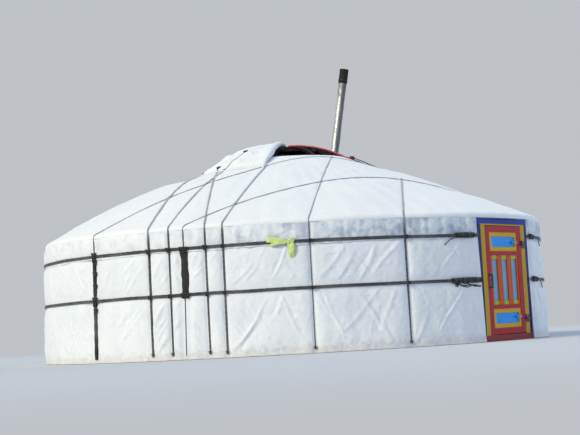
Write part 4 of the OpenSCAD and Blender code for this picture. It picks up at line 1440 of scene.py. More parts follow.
@dataclass(frozen=True)
class CrownFlap:
    """Canvas and felt flap over the crown, with a hole for the pipe and one part turned back in a heap."""

    form: TentForm
    axis: PipeAxis
    first: float = 297.0
    last: float = 563.0
    hole: float = 0.078
    hem_r: float = 0.0065
    hem_drop: float = 0.004
    collar_r: float = 0.010
    binding_r: float = 0.011
    edge_from: float = 0.02
    edge_to: float = 0.86
    fold_first: float = 112.0
    fold_last: float = 202.0
    fold_t: float = 0.084
    fold_in: float = 0.030
    sheet_t: float = 0.006
    heap_t: float = 0.005
    heap_lift: float = 0.003
    waves: Waves = Waves(57, 26, 0.7, 0.12)

    def top(self, r: Many, turn: Many) -> Many:
        """Returns the height of the flap's upper side."""
        span = np.clip(r / self.form.ring_mid, 0.0, 1.0)
        sag = 0.016 * np.sin(math.pi * span) ** 2 * (0.5 + 0.5 * np.cos(8.0 * turn))
        wide = ease(r, 0.5, 0.9) * (1.0 - ease(r, 0.96, 1.10))
        ripple = self.waves.at(r * np.cos(turn), r * np.sin(turn)) * (0.0015 + 0.0045 * wide)
        rim = 0.003 * np.sin(13.0 * turn + 0.7) * np.sin(5.0 * turn) * ease(r, 0.82, 1.12)
        close = 0.006 - 0.0105 * ease(r, 0.94, 1.10)
        return self.form.flap_low(r) + self.form.flap_t + close - sag + ripple + rim

    def rim(self, turn: Many) -> Many:
        """Returns the radius of the flap's rim, which is a little uneven."""
        return self.form.flap_r + 0.014 * np.sin(4.0 * turn + 0.9) + 0.008 * np.sin(11.0 * turn)

    def cloth(self) -> Piece:
        """Makes the flap.

        Returns:
            The piece.
        """
        rows, cols = 62, 280
        turn = np.radians(np.linspace(self.first, self.last, cols))[None, :]
        share = np.linspace(0.012, 1.0, rows)[:, None]
        r = share * self.rim(turn)
        points = polar(r, turn, self.top(r, turn))
        cloth = points[..., :2].copy()
        offset = self.axis.beside(points)
        apart = np.linalg.norm(offset, axis=-1, keepdims=True)
        push = np.clip(1.0 - apart / (3.2 * self.hole), 0.0, 1.0) ** 1.6
        moved = points + offset / np.maximum(apart, 1e-4) * push * self.hole * 1.15
        points[..., :2] = moved[..., :2]
        maker = Maker()
        maker.grid(points, cloth, flip=True)
        middles = points.reshape(-1, 3)[np.array(maker.faces)].mean(axis=1)
        keep = np.flatnonzero(np.linalg.norm(self.axis.beside(middles), axis=-1) >= self.hole)
        maker.cloth = [maker.cloth[0].reshape(-1, 4, 2)[keep].reshape(-1, 2)]
        maker.faces = [maker.faces[k] for k in keep]
        canvas = Canvas("flap_canvas_cloth", WHITE, mottle=0.22, streaks=0.1, pipe=self.mouth())
        flap = maker.build("flap_cloth", canvas)
        thicken(flap, self.form.flap_t)
        return flap

    def mouth(self) -> Triple:
        """Returns where the pipe comes out of the flap, found in a few steps."""
        point = self.axis.bottom
        for _ in range(6):
            point = self.axis.at(self.form.flap_low(math.hypot(point[0], point[1])))
        return tuple(float(v) for v in point)

    def hems(self) -> Piece:
        """Makes the rolled hems along the rim, the open edges and the pipe hole.

        Returns:
            The piece.
        """
        maker = Maker()
        turn = np.radians(np.linspace(self.first, self.last, 330))
        r = self.rim(turn)
        maker.roll(polar(r, turn, self.top(r, turn) - self.hem_drop), UP, self.hem_r, 8)
        self.edge(maker, self.first, self.edge_to, r[0], self.hem_r)
        self.edge(maker, self.last, self.edge_from, r[-1], self.hem_r)
        ring = self.axis.ring(self.mouth()[2], self.hole - self.hem_drop, 48)
        r = np.hypot(ring[:, 0], ring[:, 1])
        ring[:, 2] = self.top(r, np.arctan2(ring[:, 1], ring[:, 0])) - 0.001
        maker.roll(ring, self.axis.along, self.collar_r, 8)
        return maker.build("flap_hems", Canvas("hem_cloth", (0.74, 0.74, 0.74), mottle=0.4, crumple=0.004))

    def edge(self, maker: Maker, degrees: float, start: float, end: float, radius: float) -> None:
        """Adds a round hem along an open edge.

        Args:
            maker: collects the mesh.
            degrees: direction of the edge.
            start: radius where it starts.
            end: radius where it ends.
            radius: radius of the hem itself.
        """
        turn = math.radians(degrees)
        r = np.linspace(start, end, 60)
        maker.roll(polar(r, turn, self.top(r, turn) - self.hem_drop), UP, radius, 10)

    def binding(self) -> Piece:
        """Makes the red cloth binding along the open edge on the door side.

        Returns:
            The piece.
        """
        maker = Maker()
        self.edge(maker, self.first, self.edge_from, self.edge_to, self.binding_r)
        red, dark = (0.62, 0.080, 0.125), (0.42, 0.050, 0.090)
        return maker.build("flap_binding", Canvas("binding_cloth", red, shade=dark, mottle=0.4, crumple=0.003))

    def heap_height(self, r: Array, share: Array) -> Array:
        """Works out how far the heap's upper side lies above the flap.

        Args:
            r: radii.
            share: places from its thin edge, 0, to its curled edge, 1.

        Returns:
            The heights.
        """
        rise = 0.20 + 0.80 * np.clip(r / 0.80, 0.0, 1.0)
        thick = self.fold_t * rise * (1.0 - 0.45 * ease(r, 0.76, 0.98)) * (1.0 - 0.80 * ease(r, 0.95, 1.10))
        lobes = 0.80 + 0.20 * np.cos(TURN * 2.6 * share ** 1.3 + 0.6 + 1.2 * r)
        full = ease(share, 0.0, 0.42) * (lobes + (1.0 - lobes) * ease(share, 0.85, 1.0))
        height = self.sheet_t + (thick - self.sheet_t) * full
        turn = np.radians(self.fold_first + (self.fold_last - self.fold_first) * share)
        return height + self.waves.at(r * 2.0, turn * 1.4) * 0.006 * ease(share, 0.05, 0.3)

    def over(self, points: Array) -> Array:
        """Returns the height of the uppermost cloth of the flap at points in plan."""
        r = np.hypot(points[:, 0], points[:, 1])
        turn = np.arctan2(points[:, 1], points[:, 0])
        share = (np.degrees(turn) % 360.0 - self.fold_first) / (self.fold_last - self.fold_first)
        folded = (share > 0.0) & (share < 1.0) & (r < self.form.flap_r - 2.0 * self.fold_in)
        return self.top(r, turn) + np.where(folded, self.heap_height(r, np.clip(share, 0.0, 1.0)), 0.0)

    def heap(self) -> Piece:
        """Makes the turned back part: a loose sheet that rises from its thin edge and curls under.

        Returns:
            The piece.
        """
        rows, flat, curl, under = 90, 76, 14, 12
        r = np.linspace(0.04, self.form.flap_r - self.fold_in, rows)[:, None]
        share = even(flat)[None, :]
        first, last = math.radians(self.fold_first), math.radians(self.fold_last)
        turn = first + (last - first) * share
        height = self.heap_height(r, share)
        arc = np.linspace(math.pi / 2, -math.pi / 2, curl)[None, 1:]
        edge = height[:, -1:]
        curl_turn = last + (edge / 2.0) * np.cos(arc) / np.maximum(r, 0.15)
        curl_height = edge / 2.0 + edge / 2.0 * np.sin(arc)
        back = even(under)[None, 1:]
        under_turn = last - back * 0.16 / np.maximum(r, 0.3)
        turns = np.concatenate([np.broadcast_to(turn, (rows, flat)), curl_turn, under_turn], axis=1)
        heights = np.concatenate([height, curl_height, np.full((rows, under - 1), self.heap_lift)], axis=1)
        tuck = ease(r, 1.045, 1.10)
        lift = np.maximum(heights, self.heap_lift) * (1.0 - tuck) - 0.001 * tuck
        along = even(turns.shape[1])[None, :] * 1.4
        maker = Maker()
        maker.grid(polar(r, turns, self.top(r, turns) + lift), cut(r, along))
        canvas = Canvas("heap_canvas_cloth", WHITE, mottle=0.25, streaks=0.1, crumple=0.008)
        heap = maker.build("flap_heap", canvas)
        thicken(heap, self.heap_t)
        return heap

    def build(self) -> List[Piece]:
        """Makes the flap, its hems and its heap.

        Returns:
            The pieces.
        """
        flap = settle(self.cloth(), "flap_cloth", "crown_flap")
        hems = settle(self.hems(), "flap_cloth")
        binding = settle(self.binding(), "flap_cloth")
        heap = settle(self.heap(), "flap_cloth", "flap_fold")
        return [flap, hems, binding, heap]


# Ropes


@dataclass(frozen=True)
class RopeWork:
    """Ropes over the roof and down the wall, girdles, knots, the broad strap and the ribbon."""

    form: TentForm
    lacing: Lacing
    swell: Swell
    roof: RoofCover
    flap: CrownFlap
    thick: float = 0.0055
    sink: float = 0.0035
    step: float = 0.011
    foot: float = 0.030
    side_pitch: float = 0.0125
    tie_counts: Tuple[int, ...] = (2, 1, 2)
    flap_counts: Tuple[int, ...] = (3, 2, 2, 1, 1, 1)
    roof_knot: float = 0.014
    knot_in: float = 0.006
    girdle_r: float = 0.009
    girdle_off: float = 0.0107
    bundle_pitch: float = 0.0126
    bundle_rise: float = 0.0100
    bundle_knots: Table = (
        (1, 0.014, 0.036, 0.014), (1, -0.024, 0.034, 0.010), (1, -0.075, 0.032, 0.0), (1, -0.198, 0.034, 0.0),
        (1, -0.334, 0.034, 0.0), (0, 0.014, 0.036, 0.014), (0, -0.024, 0.034, 0.010), (0, -0.110, 0.032, 0.0),
    )
    door_turn: float = 10.4
    tie_round: float = 3.08
    coil_turn: float = 10.5
    coil_knot: float = 7.3
    whip_pitch: float = 0.0125
    strap_half: float = 0.042
    strap_span: Pair = (0.655, 1.172)
    strap_t: float = 0.005
    ribbon_t: float = 0.0012
    ribbon_tails: Table = (
        (-0.235, -0.030, 0.6, 0.060, 0.3), (-0.200, 0.012, 0.8, 0.050, 2.4), (0.030, 0.155, 0.25, 0.062, 1.9),
        (0.062, 0.105, 0.4, 0.050, 3.6), (0.052, -0.022, 0.6, 0.046, 5.0),
    )
    dark: HairRope = HairRope("dark_hair_rope", share=0.25)
    # The grey rope carries painted light: lighter and bluer on the roof.
    grey: HairRope = HairRope("grey_hair_rope", dark=(0.060, 0.056, 0.062), light=(0.34, 0.33, 0.33), share=0.4,
                              painted_light=0.72)
    black: HairRope = HairRope("black_hair_rope", dark=(0.014, 0.013, 0.016), light=(0.12, 0.11, 0.11), share=0.22)

    def path(self, strand: Strand, over: Sequence[Strand] = (), shift: float = 0.0) -> Array:
        """Lays a strand on the covers.

        Args:
            strand: the strand in plan.
            over: strands that it passes over.
            shift: how far it lies beside its line on the wall; on the roof it is drawn in.

        Returns:
            Points along its middle, from the inner end down to its foot.
        """
        flat = strand.at(np.arange(0.0, strand.way_to(self.roof.flat_end), self.step))
        lift = self.swell.bed(flat[:, 0], flat[:, 1]) - self.sink + self.thick
        for other in over:
            lift = lift + 2.0 * self.thick * bell(other.apart(flat[:, 0], flat[:, 1]), 0.022)
        r = np.hypot(flat[:, 0], flat[:, 1])
        z = self.form.roof_z(r) + lift / math.cos(self.form.slope)
        side_r, side_z = self.roof.shoulder(lift[-1:], self.swell.rope_clear + self.thick + 0.004, 1.30)
        wall_z = np.arange(1.29, self.foot, -self.step * 1.4)
        wall_r = self.form.skirt_out(wall_z) - self.form.skirt_off + self.swell.rope_clear + self.thick
        wall_r = wall_r + 0.0035 * ease(wall_z, 1.10, 1.16) + 0.004 * ease(wall_z, 1.20, 1.30)
        xy = np.concatenate([flat, strand.at(strand.way_to(np.concatenate([side_r[1:, 0], wall_r])))])
        z = np.concatenate([z, side_z[1:, 0], wall_z])
        beside = np.array([-strand.heading[1], strand.heading[0]])
        tangent = np.column_stack([-xy[:, 1], xy[:, 0]]) / np.hypot(xy[:, 0], xy[:, 1])[:, None]
        tangent = tangent * np.sign(tangent @ beside)[:, None]
        down = (1.0 - ease(z, 1.28, 1.42))[:, None]
        across = unit(beside * (1.0 - down) + tangent * down)
        drawn = 0.62 + 0.38 * (1.0 - ease(z, 1.22, 1.50))
        return np.column_stack([xy + across * (shift * drawn)[:, None], z])

    def lay(self, maker: Maker, strand: Strand, over: Sequence[Strand] = (), count: int = 1) -> None:
        """Adds a strand to a mesh.

        Args:
            maker: collects the mesh.
            strand: the strand in plan.
            over: strands that it passes over.
            count: number of ropes side by side.
        """
        side = np.array([-strand.heading[1], strand.heading[0], 0.0])
        for k in range(count):
            maker.tube(self.path(strand, over, (k - (count - 1) / 2) * self.side_pitch), side, self.thick)

    def crossing(self, maker: Maker, x: float, y: float) -> None:
        """Adds a knot where a tie starts on the roof.

        Args:
            maker: collects the mesh.
            x: its place in plan.
            y: the same along Y.
        """
        r = math.hypot(x, y)
        cos, sin = math.cos(self.form.slope), math.sin(self.form.slope)
        z = self.form.roof_z(r) + self.swell.bed(x, y) / cos
        maker.knot(np.array([x, y, z]), np.array([x / r * sin, y / r * sin, cos]), self.roof_knot, self.thick)

    def wall_knot(self, maker: Maker, held: Union[Strand, float], z: float, size: float = 0.016,
                  off: float = 0.012, thick: float = 0.0055) -> None:
        """Adds a knot on the wall.

        Args:
            maker: collects the mesh.
            held: the strand that it sits on, or its direction.
            z: its height.
            size: radius of its loops.
            off: how far it lies off the canvas.
            thick: radius of its rope.
        """
        canvas = self.form.skirt_out(z)
        degrees = held.wall_dir(canvas + self.knot_in) if isinstance(held, Strand) else held
        at = plan(canvas + off, degrees)
        maker.knot(np.array([at[0], at[1], z]), np.array([at[0], at[1], 0.0]), size, thick)

    def roof_ropes(self, side: Side) -> Piece:
        """Makes the long ropes and ties of one side.

        Args:
            side: the side.

        Returns:
            The piece.
        """
        maker = Maker()
        for strand in self.lacing.long_strands(0, side) + self.lacing.long_strands(1, side):
            self.lay(maker, strand)
        for k, tie in enumerate(self.lacing.tie_strands(side)):
            crossed = self.lacing.long_strands(1, side) if self.lacing.tied_to[k] == 0 else []
            self.lay(maker, tie, crossed, self.tie_counts[k])
            self.crossing(maker, *tie.inner)
            self.wall_knot(maker, tie, 0.06)
        word = side.name.lower()
        return settle(maker.build(f"{word}_ropes", self.grey), "roof_rope", f"roof_ropes_{word}")

    def flap_ropes(self) -> Piece:
        """Makes the ropes that pull the flap down.

        Returns:
            The piece.
        """
        maker = Maker()
        below = [strand for side in Side for k in (0, 1) for strand in self.lacing.long_strands(k, side)]
        for strand, count in zip(self.lacing.flap_strands(), self.flap_counts):
            self.lay(maker, strand, below, count)
            self.wall_knot(maker, strand, 0.07)
        return settle(maker.build("flap_pull_ropes", self.grey), "roof_rope", "flap_ropes")

    def lashings(self) -> Piece:
        """Makes the dark knots on the flap and the short ropes from them to its rim.

        Returns:
            The piece.
        """
        maker = Maker()
        tops = [strand.at(0.075) for strand in self.lacing.flap_strands()]
        ends = [plan(1.045, direction) for direction in self.lacing.flap_high]
        ends[1] = plan(0.780, 177.5)
        tops.append(plan(1.120, 296.5))
        ends.append(plan(0.825, 296.3))
        for start, end in zip(tops, ends):
            line = start + (end - start) * even(30)[:, None]
            r = np.hypot(line[:, 0], line[:, 1])
            roof = self.form.roof_z(r) + self.swell.bed(line[:, 0], line[:, 1])
            z = np.where(r > self.form.flap_r + 0.012, roof, self.flap.over(line)) + self.thick
            path = np.column_stack([line, z])
            path[1:-1] = (path[:-2] + path[1:-1] + path[2:]) / 3.0
            maker.tube(path, np.array([-line[0, 1], line[0, 0], 0.0]), self.thick)
            maker.knot(path[-1] - [0.0, 0.0, self.thick], np.array([*end * 0.35, 1.0]), 0.027, 0.0095)
        return settle(maker.build("flap_lashings", self.black), "roof_rope")

    def bundles(self) -> Piece:
        """Makes the thick knotted bundle at the left and the knots that tie wall ropes to the girdles.

        Returns:
            The piece.
        """
        maker = Maker()
        low, high = self.swell.girdle_heights
        for side in Side:
            strand = self.lacing.long_strands(0, side)[0]
            path = self.path(strand)
            path = path[path[:, 2] < high + 0.045]
            out = unit(path * [1.0, 1.0, 0.0])
            tangent = np.cross(UP, out)
            free = 1.0 - bell(path[:, 2] - low, 0.035) - bell(path[:, 2] - high, 0.035)
            for k in range(9):
                row, seat = (0.0, k - 2.0) if k < 5 else (1.0, k - 6.5)
                beside = self.bundle_pitch * seat * (1.0 - 0.25 * bell((path[:, 2] % 0.135) - 0.067, 0.03))
                proud = self.bundle_rise * row * free
                maker.tube(path + tangent * beside[:, None] + out * proud[:, None], tangent, self.thick)
            for girdle, above, size, off in self.bundle_knots:
                z = self.swell.girdle_heights[girdle] + above
                degrees = strand.wall_dir(self.form.skirt_out(z) + self.knot_in) + 0.16
                self.wall_knot(maker, degrees, z, size, off, 0.0110)
        for beside in (-0.45, 0.45):
            self.wall_knot(maker, self.lacing.strap_dir + beside, high - 0.004, 0.028, 0.022, 0.0095)
            self.wall_knot(maker, self.lacing.strap_dir + beside, low - 0.002, 0.026, 0.022, 0.0085)
        tied = [(strand, 0.026) for strand in self.lacing.flap_strands()[:3]]
        tied += [(strand, 0.021) for side in Side for strand in self.lacing.tie_strands(side)]
        for strand, size in tied:
            self.wall_knot(maker, strand, high, size, 0.030, 0.0075)
            self.wall_knot(maker, strand, low, size * 0.85, 0.030, 0.007)
        return settle(maker.build("wall_bundles", self.black), "girdle_rope")

    def girdle(self, word: str, z: float, seed: int) -> Piece:
        """Makes one girdle of two turns.

        Args:
            word: upper or lower.
            z: height of its middle.
            seed: start of its unevenness.

        Returns:
            The piece.
        """
        maker = Maker()
        wave = Waves(seed, 12, 3.0, 0.6)
        radius = self.form.skirt_out(z) + self.girdle_off + self.girdle_r
        jamb = math.degrees(math.asin((self.form.door_x + 0.003) / radius))
        turn = np.radians(np.linspace(-90.0 + jamb, 270.0 - jamb, 1320))
        drop = wave.at(turn * radius, np.zeros_like(turn)) * 0.0022
        for above in (-1.0, 1.0):
            path = polar(radius, turn, z + above * (self.girdle_r + 0.0003) + drop)
            maker.tube(path, UP, self.girdle_r, lobes=3, sides=9, pitch=0.085, depth=0.2)
        return settle(maker.build(f"{word}_girdle", self.dark), "girdle_rope", f"girdle_{word}")

    def whip(self, maker: Maker, z: float, start: float, length: float, hand: Hand) -> None:
        """Winds a spare rope end round a girdle.

        Args:
            maker: collects the mesh.
            z: height of the girdle.
            start: distance of its first turn from the door frame.
            length: how far it goes along the girdle.
            hand: side of the doorway.
        """
        middle = self.form.skirt_out(z) + self.girdle_off + self.girdle_r
        jamb = math.degrees(math.asin(self.form.door_x / middle))
        way = even(int(length / self.whip_pitch * 15))
        turn = np.radians(-90.0 + hand.value * jamb) + hand.value * (start + length * way) / middle
        wind = TURN * length / self.whip_pitch * way
        swell = 1.0 + 0.25 * np.sin(math.pi * way) + 0.06 * np.sin(way * 41.0)
        r = middle + 0.006 + 0.0135 * np.cos(wind)
        maker.tube(polar(r, turn, z + 0.0225 * swell * np.sin(wind)), UP, 0.0062, sides=6, depth=0.1)

    def door_ties(self) -> Piece:
        """Makes the spare rope ends that are wound and tied beside the door frame.

        Returns:
            The piece.
        """
        maker = Maker()
        low, high = self.swell.girdle_heights
        for z, start, length, hand in ((high, 0.09, 0.27, Hand.LEFT), (low, 0.02, 0.44, Hand.LEFT),
                                       (high, 0.05, 0.10, Hand.RIGHT), (low, 0.05, 0.12, Hand.RIGHT)):
            self.whip(maker, z, start, length, hand)
            away = self.door_turn + math.degrees((start + length) / self.tie_round)
            self.wall_knot(maker, -90.0 + hand.value * away, z, 0.028, 0.028, 0.0085)
        base = self.form.skirt_out(low) + 0.020
        t = even(60)
        for k in range(3):
            turn = np.radians(-90.0 - self.coil_turn) - (0.02 + 0.38 * t) / base
            spread = ease(t, 0.3, 0.6)
            drop = 0.062 - 0.022 * ease(t, 0.35, 1.0) + 0.010 * np.sin(t * 9.0 + k) + 0.011 * (k - 1) * spread
            r = base - 0.006 + 0.004 * k * spread
            maker.tube(polar(r, turn, low - drop), UP, 0.0075 if k == 1 else 0.006)
        self.wall_knot(maker, -90.0 - self.coil_turn - self.coil_knot, low - 0.040, 0.026, 0.020, 0.008)
        tail = even(30)
        for hand, z in ((Hand.LEFT, high), (Hand.RIGHT, high), (Hand.RIGHT, low)):
            turn = np.radians(-90.0 + hand.value * (self.door_turn + 7.0 + 3.0 * tail))
            r = base + 0.012 - 0.010 * tail
            maker.tube(polar(r, turn, z - 0.02 - 0.085 * tail ** 1.5), UP, self.thick)
        return settle(maker.build("door_ties", self.black), "girdle_rope")

    def strap(self) -> Piece:
        """Makes the broad black strap between the girdles.

        Returns:
            The piece.
        """
        rows, cols = 70, 11
        z = np.linspace(*self.strap_span, rows)[:, None]
        wide = 1.0 + 0.08 * np.sin(z * 23.0) + 0.05 * np.sin(z * 57.0)
        x = np.linspace(-self.strap_half, self.strap_half, cols)[None, :] * wide
        lean = 0.003 * np.sin(z * 9.0) + 0.002 * np.sin(z * 31.0)
        off = 0.0120 + 0.0020 * np.sin(z * 31.0 + x * 40.0) + 0.0065 * bell(x, 0.016)
        r = self.form.skirt_out(z) - self.form.skirt_off + off
        turn = math.radians(self.lacing.strap_dir) + (x + lean) / r
        maker = Maker()
        maker.grid(polar(r, turn, z), cut(x, z))
        band = maker.build("wall_strap_band", Webbing("black_webbing"))
        thicken(band, self.strap_t)
        return settle(band, "strap", "wall_strap")

    def ribbon(self) -> List[Piece]:
        """Makes the yellow green cloth strip that is tied round the upper girdle.

        Returns:
            Its tails and its knot.
        """
        z = self.swell.girdle_heights[1]
        low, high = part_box("ribbon")
        middle = math.degrees(math.atan2((low.y + high.y) / 2, (low.x + high.x) / 2)) % 360.0
        base = self.form.skirt_out(z) + self.girdle_off + 2.0 * self.girdle_r + 0.006
        maker = Maker()
        t = even(26)[:, None]
        s = np.linspace(-0.5, 0.5, 7)[None, :]
        for run, fall, bend, width, phase in self.ribbon_tails:
            length = math.hypot(run, fall)
            dx, dz = run / length, -fall / length
            spread = width * (0.45 + 0.55 * ease(t, 0.0, 0.3)) * s
            x = run * t - spread * dz
            height = z - fall * t ** (1.0 + bend) + spread * dx - 0.010 * np.sin(t * 6.0 + phase) * t
            off = 0.004 + 0.010 * np.sin(t * 8.0 + phase + s * 2.0) * t + 0.012 * np.sin(math.pi * t)
            points = polar(base + off, math.radians(middle) + x / base, height)
            maker.grid(points, cut(s * width, t * length))
        cloth = maker.build("green_ribbon", Scarf("ribbon_cloth"))
        thicken(cloth, self.ribbon_t)
        settle(cloth, "ribbon", "ribbon")
        wrap = Maker()
        t = np.linspace(0.0, TURN, 29)[:, None]
        out = np.array([*plan(1.0, middle), 0.0])
        across = np.cross(UP, out)
        for shift in (-0.012, 0.0, 0.012):
            centre = (base - 0.006 - self.girdle_r) * out + z * UP + shift * across
            path = centre + 0.012 * np.cos(t) * out + 0.021 * np.sin(t) * UP
            wrap.tube(path, across, 0.006, lobes=1, depth=0.1)
        wrap.knot(base * out + z * UP, out, 0.016, 0.009)
        knot = settle(wrap.build("ribbon_knot", Scarf("ribbon_cloth")), "ribbon")
        return [cloth, knot]

    def build(self) -> List[Piece]:
        """Makes all rope work and returns its pieces."""
        low, high = self.swell.girdle_heights
        return [
            self.roof_ropes(Side.NEAR), self.roof_ropes(Side.FAR), self.flap_ropes(), self.lashings(),
            self.girdle("upper", high, 71), self.girdle("lower", low, 72), self.bundles(), self.door_ties(),
            self.strap(), *self.ribbon(),
        ]


# Wood and metal


@dataclass(frozen=True)
class WoodFrame:
    """Crown, posts, poles, trellis and felt, which the frame carries with their true shapes."""

    ring: Colour = (0.56, 0.085, 0.060)
    rib: Colour = (0.60, 0.050, 0.075)
    pole: Colour = (0.56, 0.15, 0.050)
    post: Colour = (0.52, 0.13, 0.050)

    def dress(self) -> None:
        """Gives each node its finish."""
        # The crown's ring and ribs are painted nearly black: painted shade for the dark opening of the crown.
        finish_nodes(Paint("crown_ring_paint", self.ring, grain=Grain.ROUND, wear=0.5, painted_shade=0.93), "crown_ring")
        finish_nodes(Paint("crown_rib_paint", self.rib, grain=Grain.ROUND, wear=0.4, painted_shade=0.92),
                     "crown_ribs", "crown_hoop", "crown_boss")
        finish_nodes(Paint("post_paint", self.post, wear=0.8), "post")
        finish_nodes(Paint("pole_paint", self.pole, grain=Grain.ROUND, wear=0.5, edge=0.003), "roof_poles")
        finish_nodes(StainedWood("willow_stain"), "trellis")
        finish_nodes(WoolFelt("wool_felt"), "wall_felt", "roof_felt")


@dataclass(frozen=True)
class DoorWork:
    """Painted door frame and leaf, its iron and its nails."""

    navy: Colour = (0.016, 0.010, 0.130)
    blue: Colour = (0.004, 0.045, 0.400)
    gold: Colour = (0.56, 0.33, 0.004)
    yellow: Colour = (0.72, 0.40, 0.006)
    lime: Colour = (0.52, 0.54, 0.010)
    crimson: Colour = (0.43, 0.003, 0.020)
    azure: Colour = (0.012, 0.330, 0.920)
    sky: Colour = (0.19, 0.42, 0.64)
    orange: Colour = (0.66, 0.095, 0.002)
    maroon: Colour = (0.30, 0.03, 0.035)
    primer: Colour = (0.10, 0.07, 0.06)
    stile_x: float = 0.310
    moulding_x: float = 0.262
    nail_r: float = 0.0055
    small_nail_r: float = 0.0045
    eye_h: float = 0.034

    def dress(self) -> None:
        """Gives each node its paint."""
        across = Grain.ACROSS
        finish_nodes(Paint("jamb_paint", self.navy), "door_jamb")
        finish_nodes(Paint("lintel_paint", self.blue, grain=across), "door_lintel")
        finish_nodes(Paint("sill_paint", self.maroon, grain=across, wear=1.0), "door_sill")
        finish_nodes(Paint("trim_paint", self.gold), "door_trim")
        finish_nodes(Paint("moulding_paint", self.yellow, grain=across), "leaf_mouldings")
        finish_nodes(Paint("cap_paint", self.lime, grain=across), "leaf_caps")
        finish_nodes(Paint("leaf_paint", self.crimson, gloss=0.30), "leaf_frame")
        finish_nodes(Paint("panel_paint", self.azure, grain=across, gloss=0.30), "leaf_panels")
        finish_nodes(Paint("board_paint", self.sky), "leaf_boards")
        finish_nodes(Paint("bar_paint", self.orange), "leaf_bars")
        finish_nodes(Iron("forged_iron"), "door_pintles", "leaf_handle")
        stripes = ((self.moulding_x, self.yellow), (self.stile_x, self.crimson))
        worn = StripedPaint("hinge_paint", self.azure, self.primer, wear=0.8, edge=0.003, stripes=stripes)
        finish_nodes(worn, "leaf_hinges")

    def nail(self, maker: Maker, x: float, y: float, z: float, radius: float) -> None:
        """Adds a domed nail head that looks outward, to -Y.

        Args:
            maker: collects the mesh.
            x: its place across.
            y: the face that it lies on.
            z: its height.
            radius: its radius.
        """
        t = np.linspace(0.0, TURN, 13)[None, :-1]
        lift = np.radians(np.array([0.0, 35.0, 65.0, 84.0]))[:, None]
        points = np.stack(np.broadcast_arrays(
            x + radius * np.cos(lift) * np.cos(t),
            y - radius * 0.55 * np.sin(lift) + 0.0 * t,
            z + radius * np.cos(lift) * np.sin(t),
        ), axis=-1)
        cloth = np.zeros((4, 13, 2))
        first = maker.count
        maker.grid(points, cloth, closed=True)
        maker.faces.append([first + 36 + k for k in range(12)])
        maker.cloth.append(np.zeros((12, 2)))

    def leaf_nails(self) -> Piece:
        """Makes the nails of the hinge straps, the handle plate and the rails.

        Returns:
            The piece.
        """
        maker = Maker()
        low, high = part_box("leaf_hinges")
        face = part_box("leaf_frame")[0].y
        strap_face = face - 0.004
        for z in (low.z + self.eye_h / 2, high.z - self.eye_h / 2):
            for k in range(4):
                self.nail(maker, low.x + 0.018 + 0.046 * k, strap_face, z, self.nail_r)
        plate_low, plate_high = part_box("leaf_handle")
        middle = (plate_low.x + plate_high.x) / 2
        for z in (plate_low.z + 0.007, plate_high.z - 0.007):
            self.nail(maker, middle, face - 0.003, z, self.small_nail_r)
        frame_low, frame_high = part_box("leaf_frame")
        for x in (frame_low.x + 0.026, frame_low.x + 0.062, frame_high.x - 0.026, frame_high.x - 0.062):
            for z in (frame_low.z + 0.035, frame_high.z - 0.035):
                self.nail(maker, x, face, z, self.small_nail_r)
        return settle(maker.build("leaf_nails", Iron("forged_iron")), "iron", body="leaf")

    def frame_nails(self) -> Piece:
        """Makes the nails of the door frame.

        Returns:
            The piece.
        """
        maker = Maker()
        low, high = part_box("door_lintel")
        sill_low, sill_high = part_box("door_sill")
        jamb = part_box("door_jamb_left")
        half = (jamb[1].x - jamb[0].x) / 2
        for x in (low.x + half, high.x - half):
            for shift in (-0.014, 0.014):
                self.nail(maker, x + shift, low.y, (low.z + high.z) / 2, self.nail_r)
                self.nail(maker, x + shift, sill_low.y, (sill_low.z + sill_high.z) / 2, self.nail_r)
        return settle(maker.build("frame_nails", Iron("forged_iron")), "iron")

    def build(self) -> List[Piece]:
        """Dresses the door, makes its nails and returns them."""
        self.dress()
        return [self.leaf_nails(), self.frame_nails()]


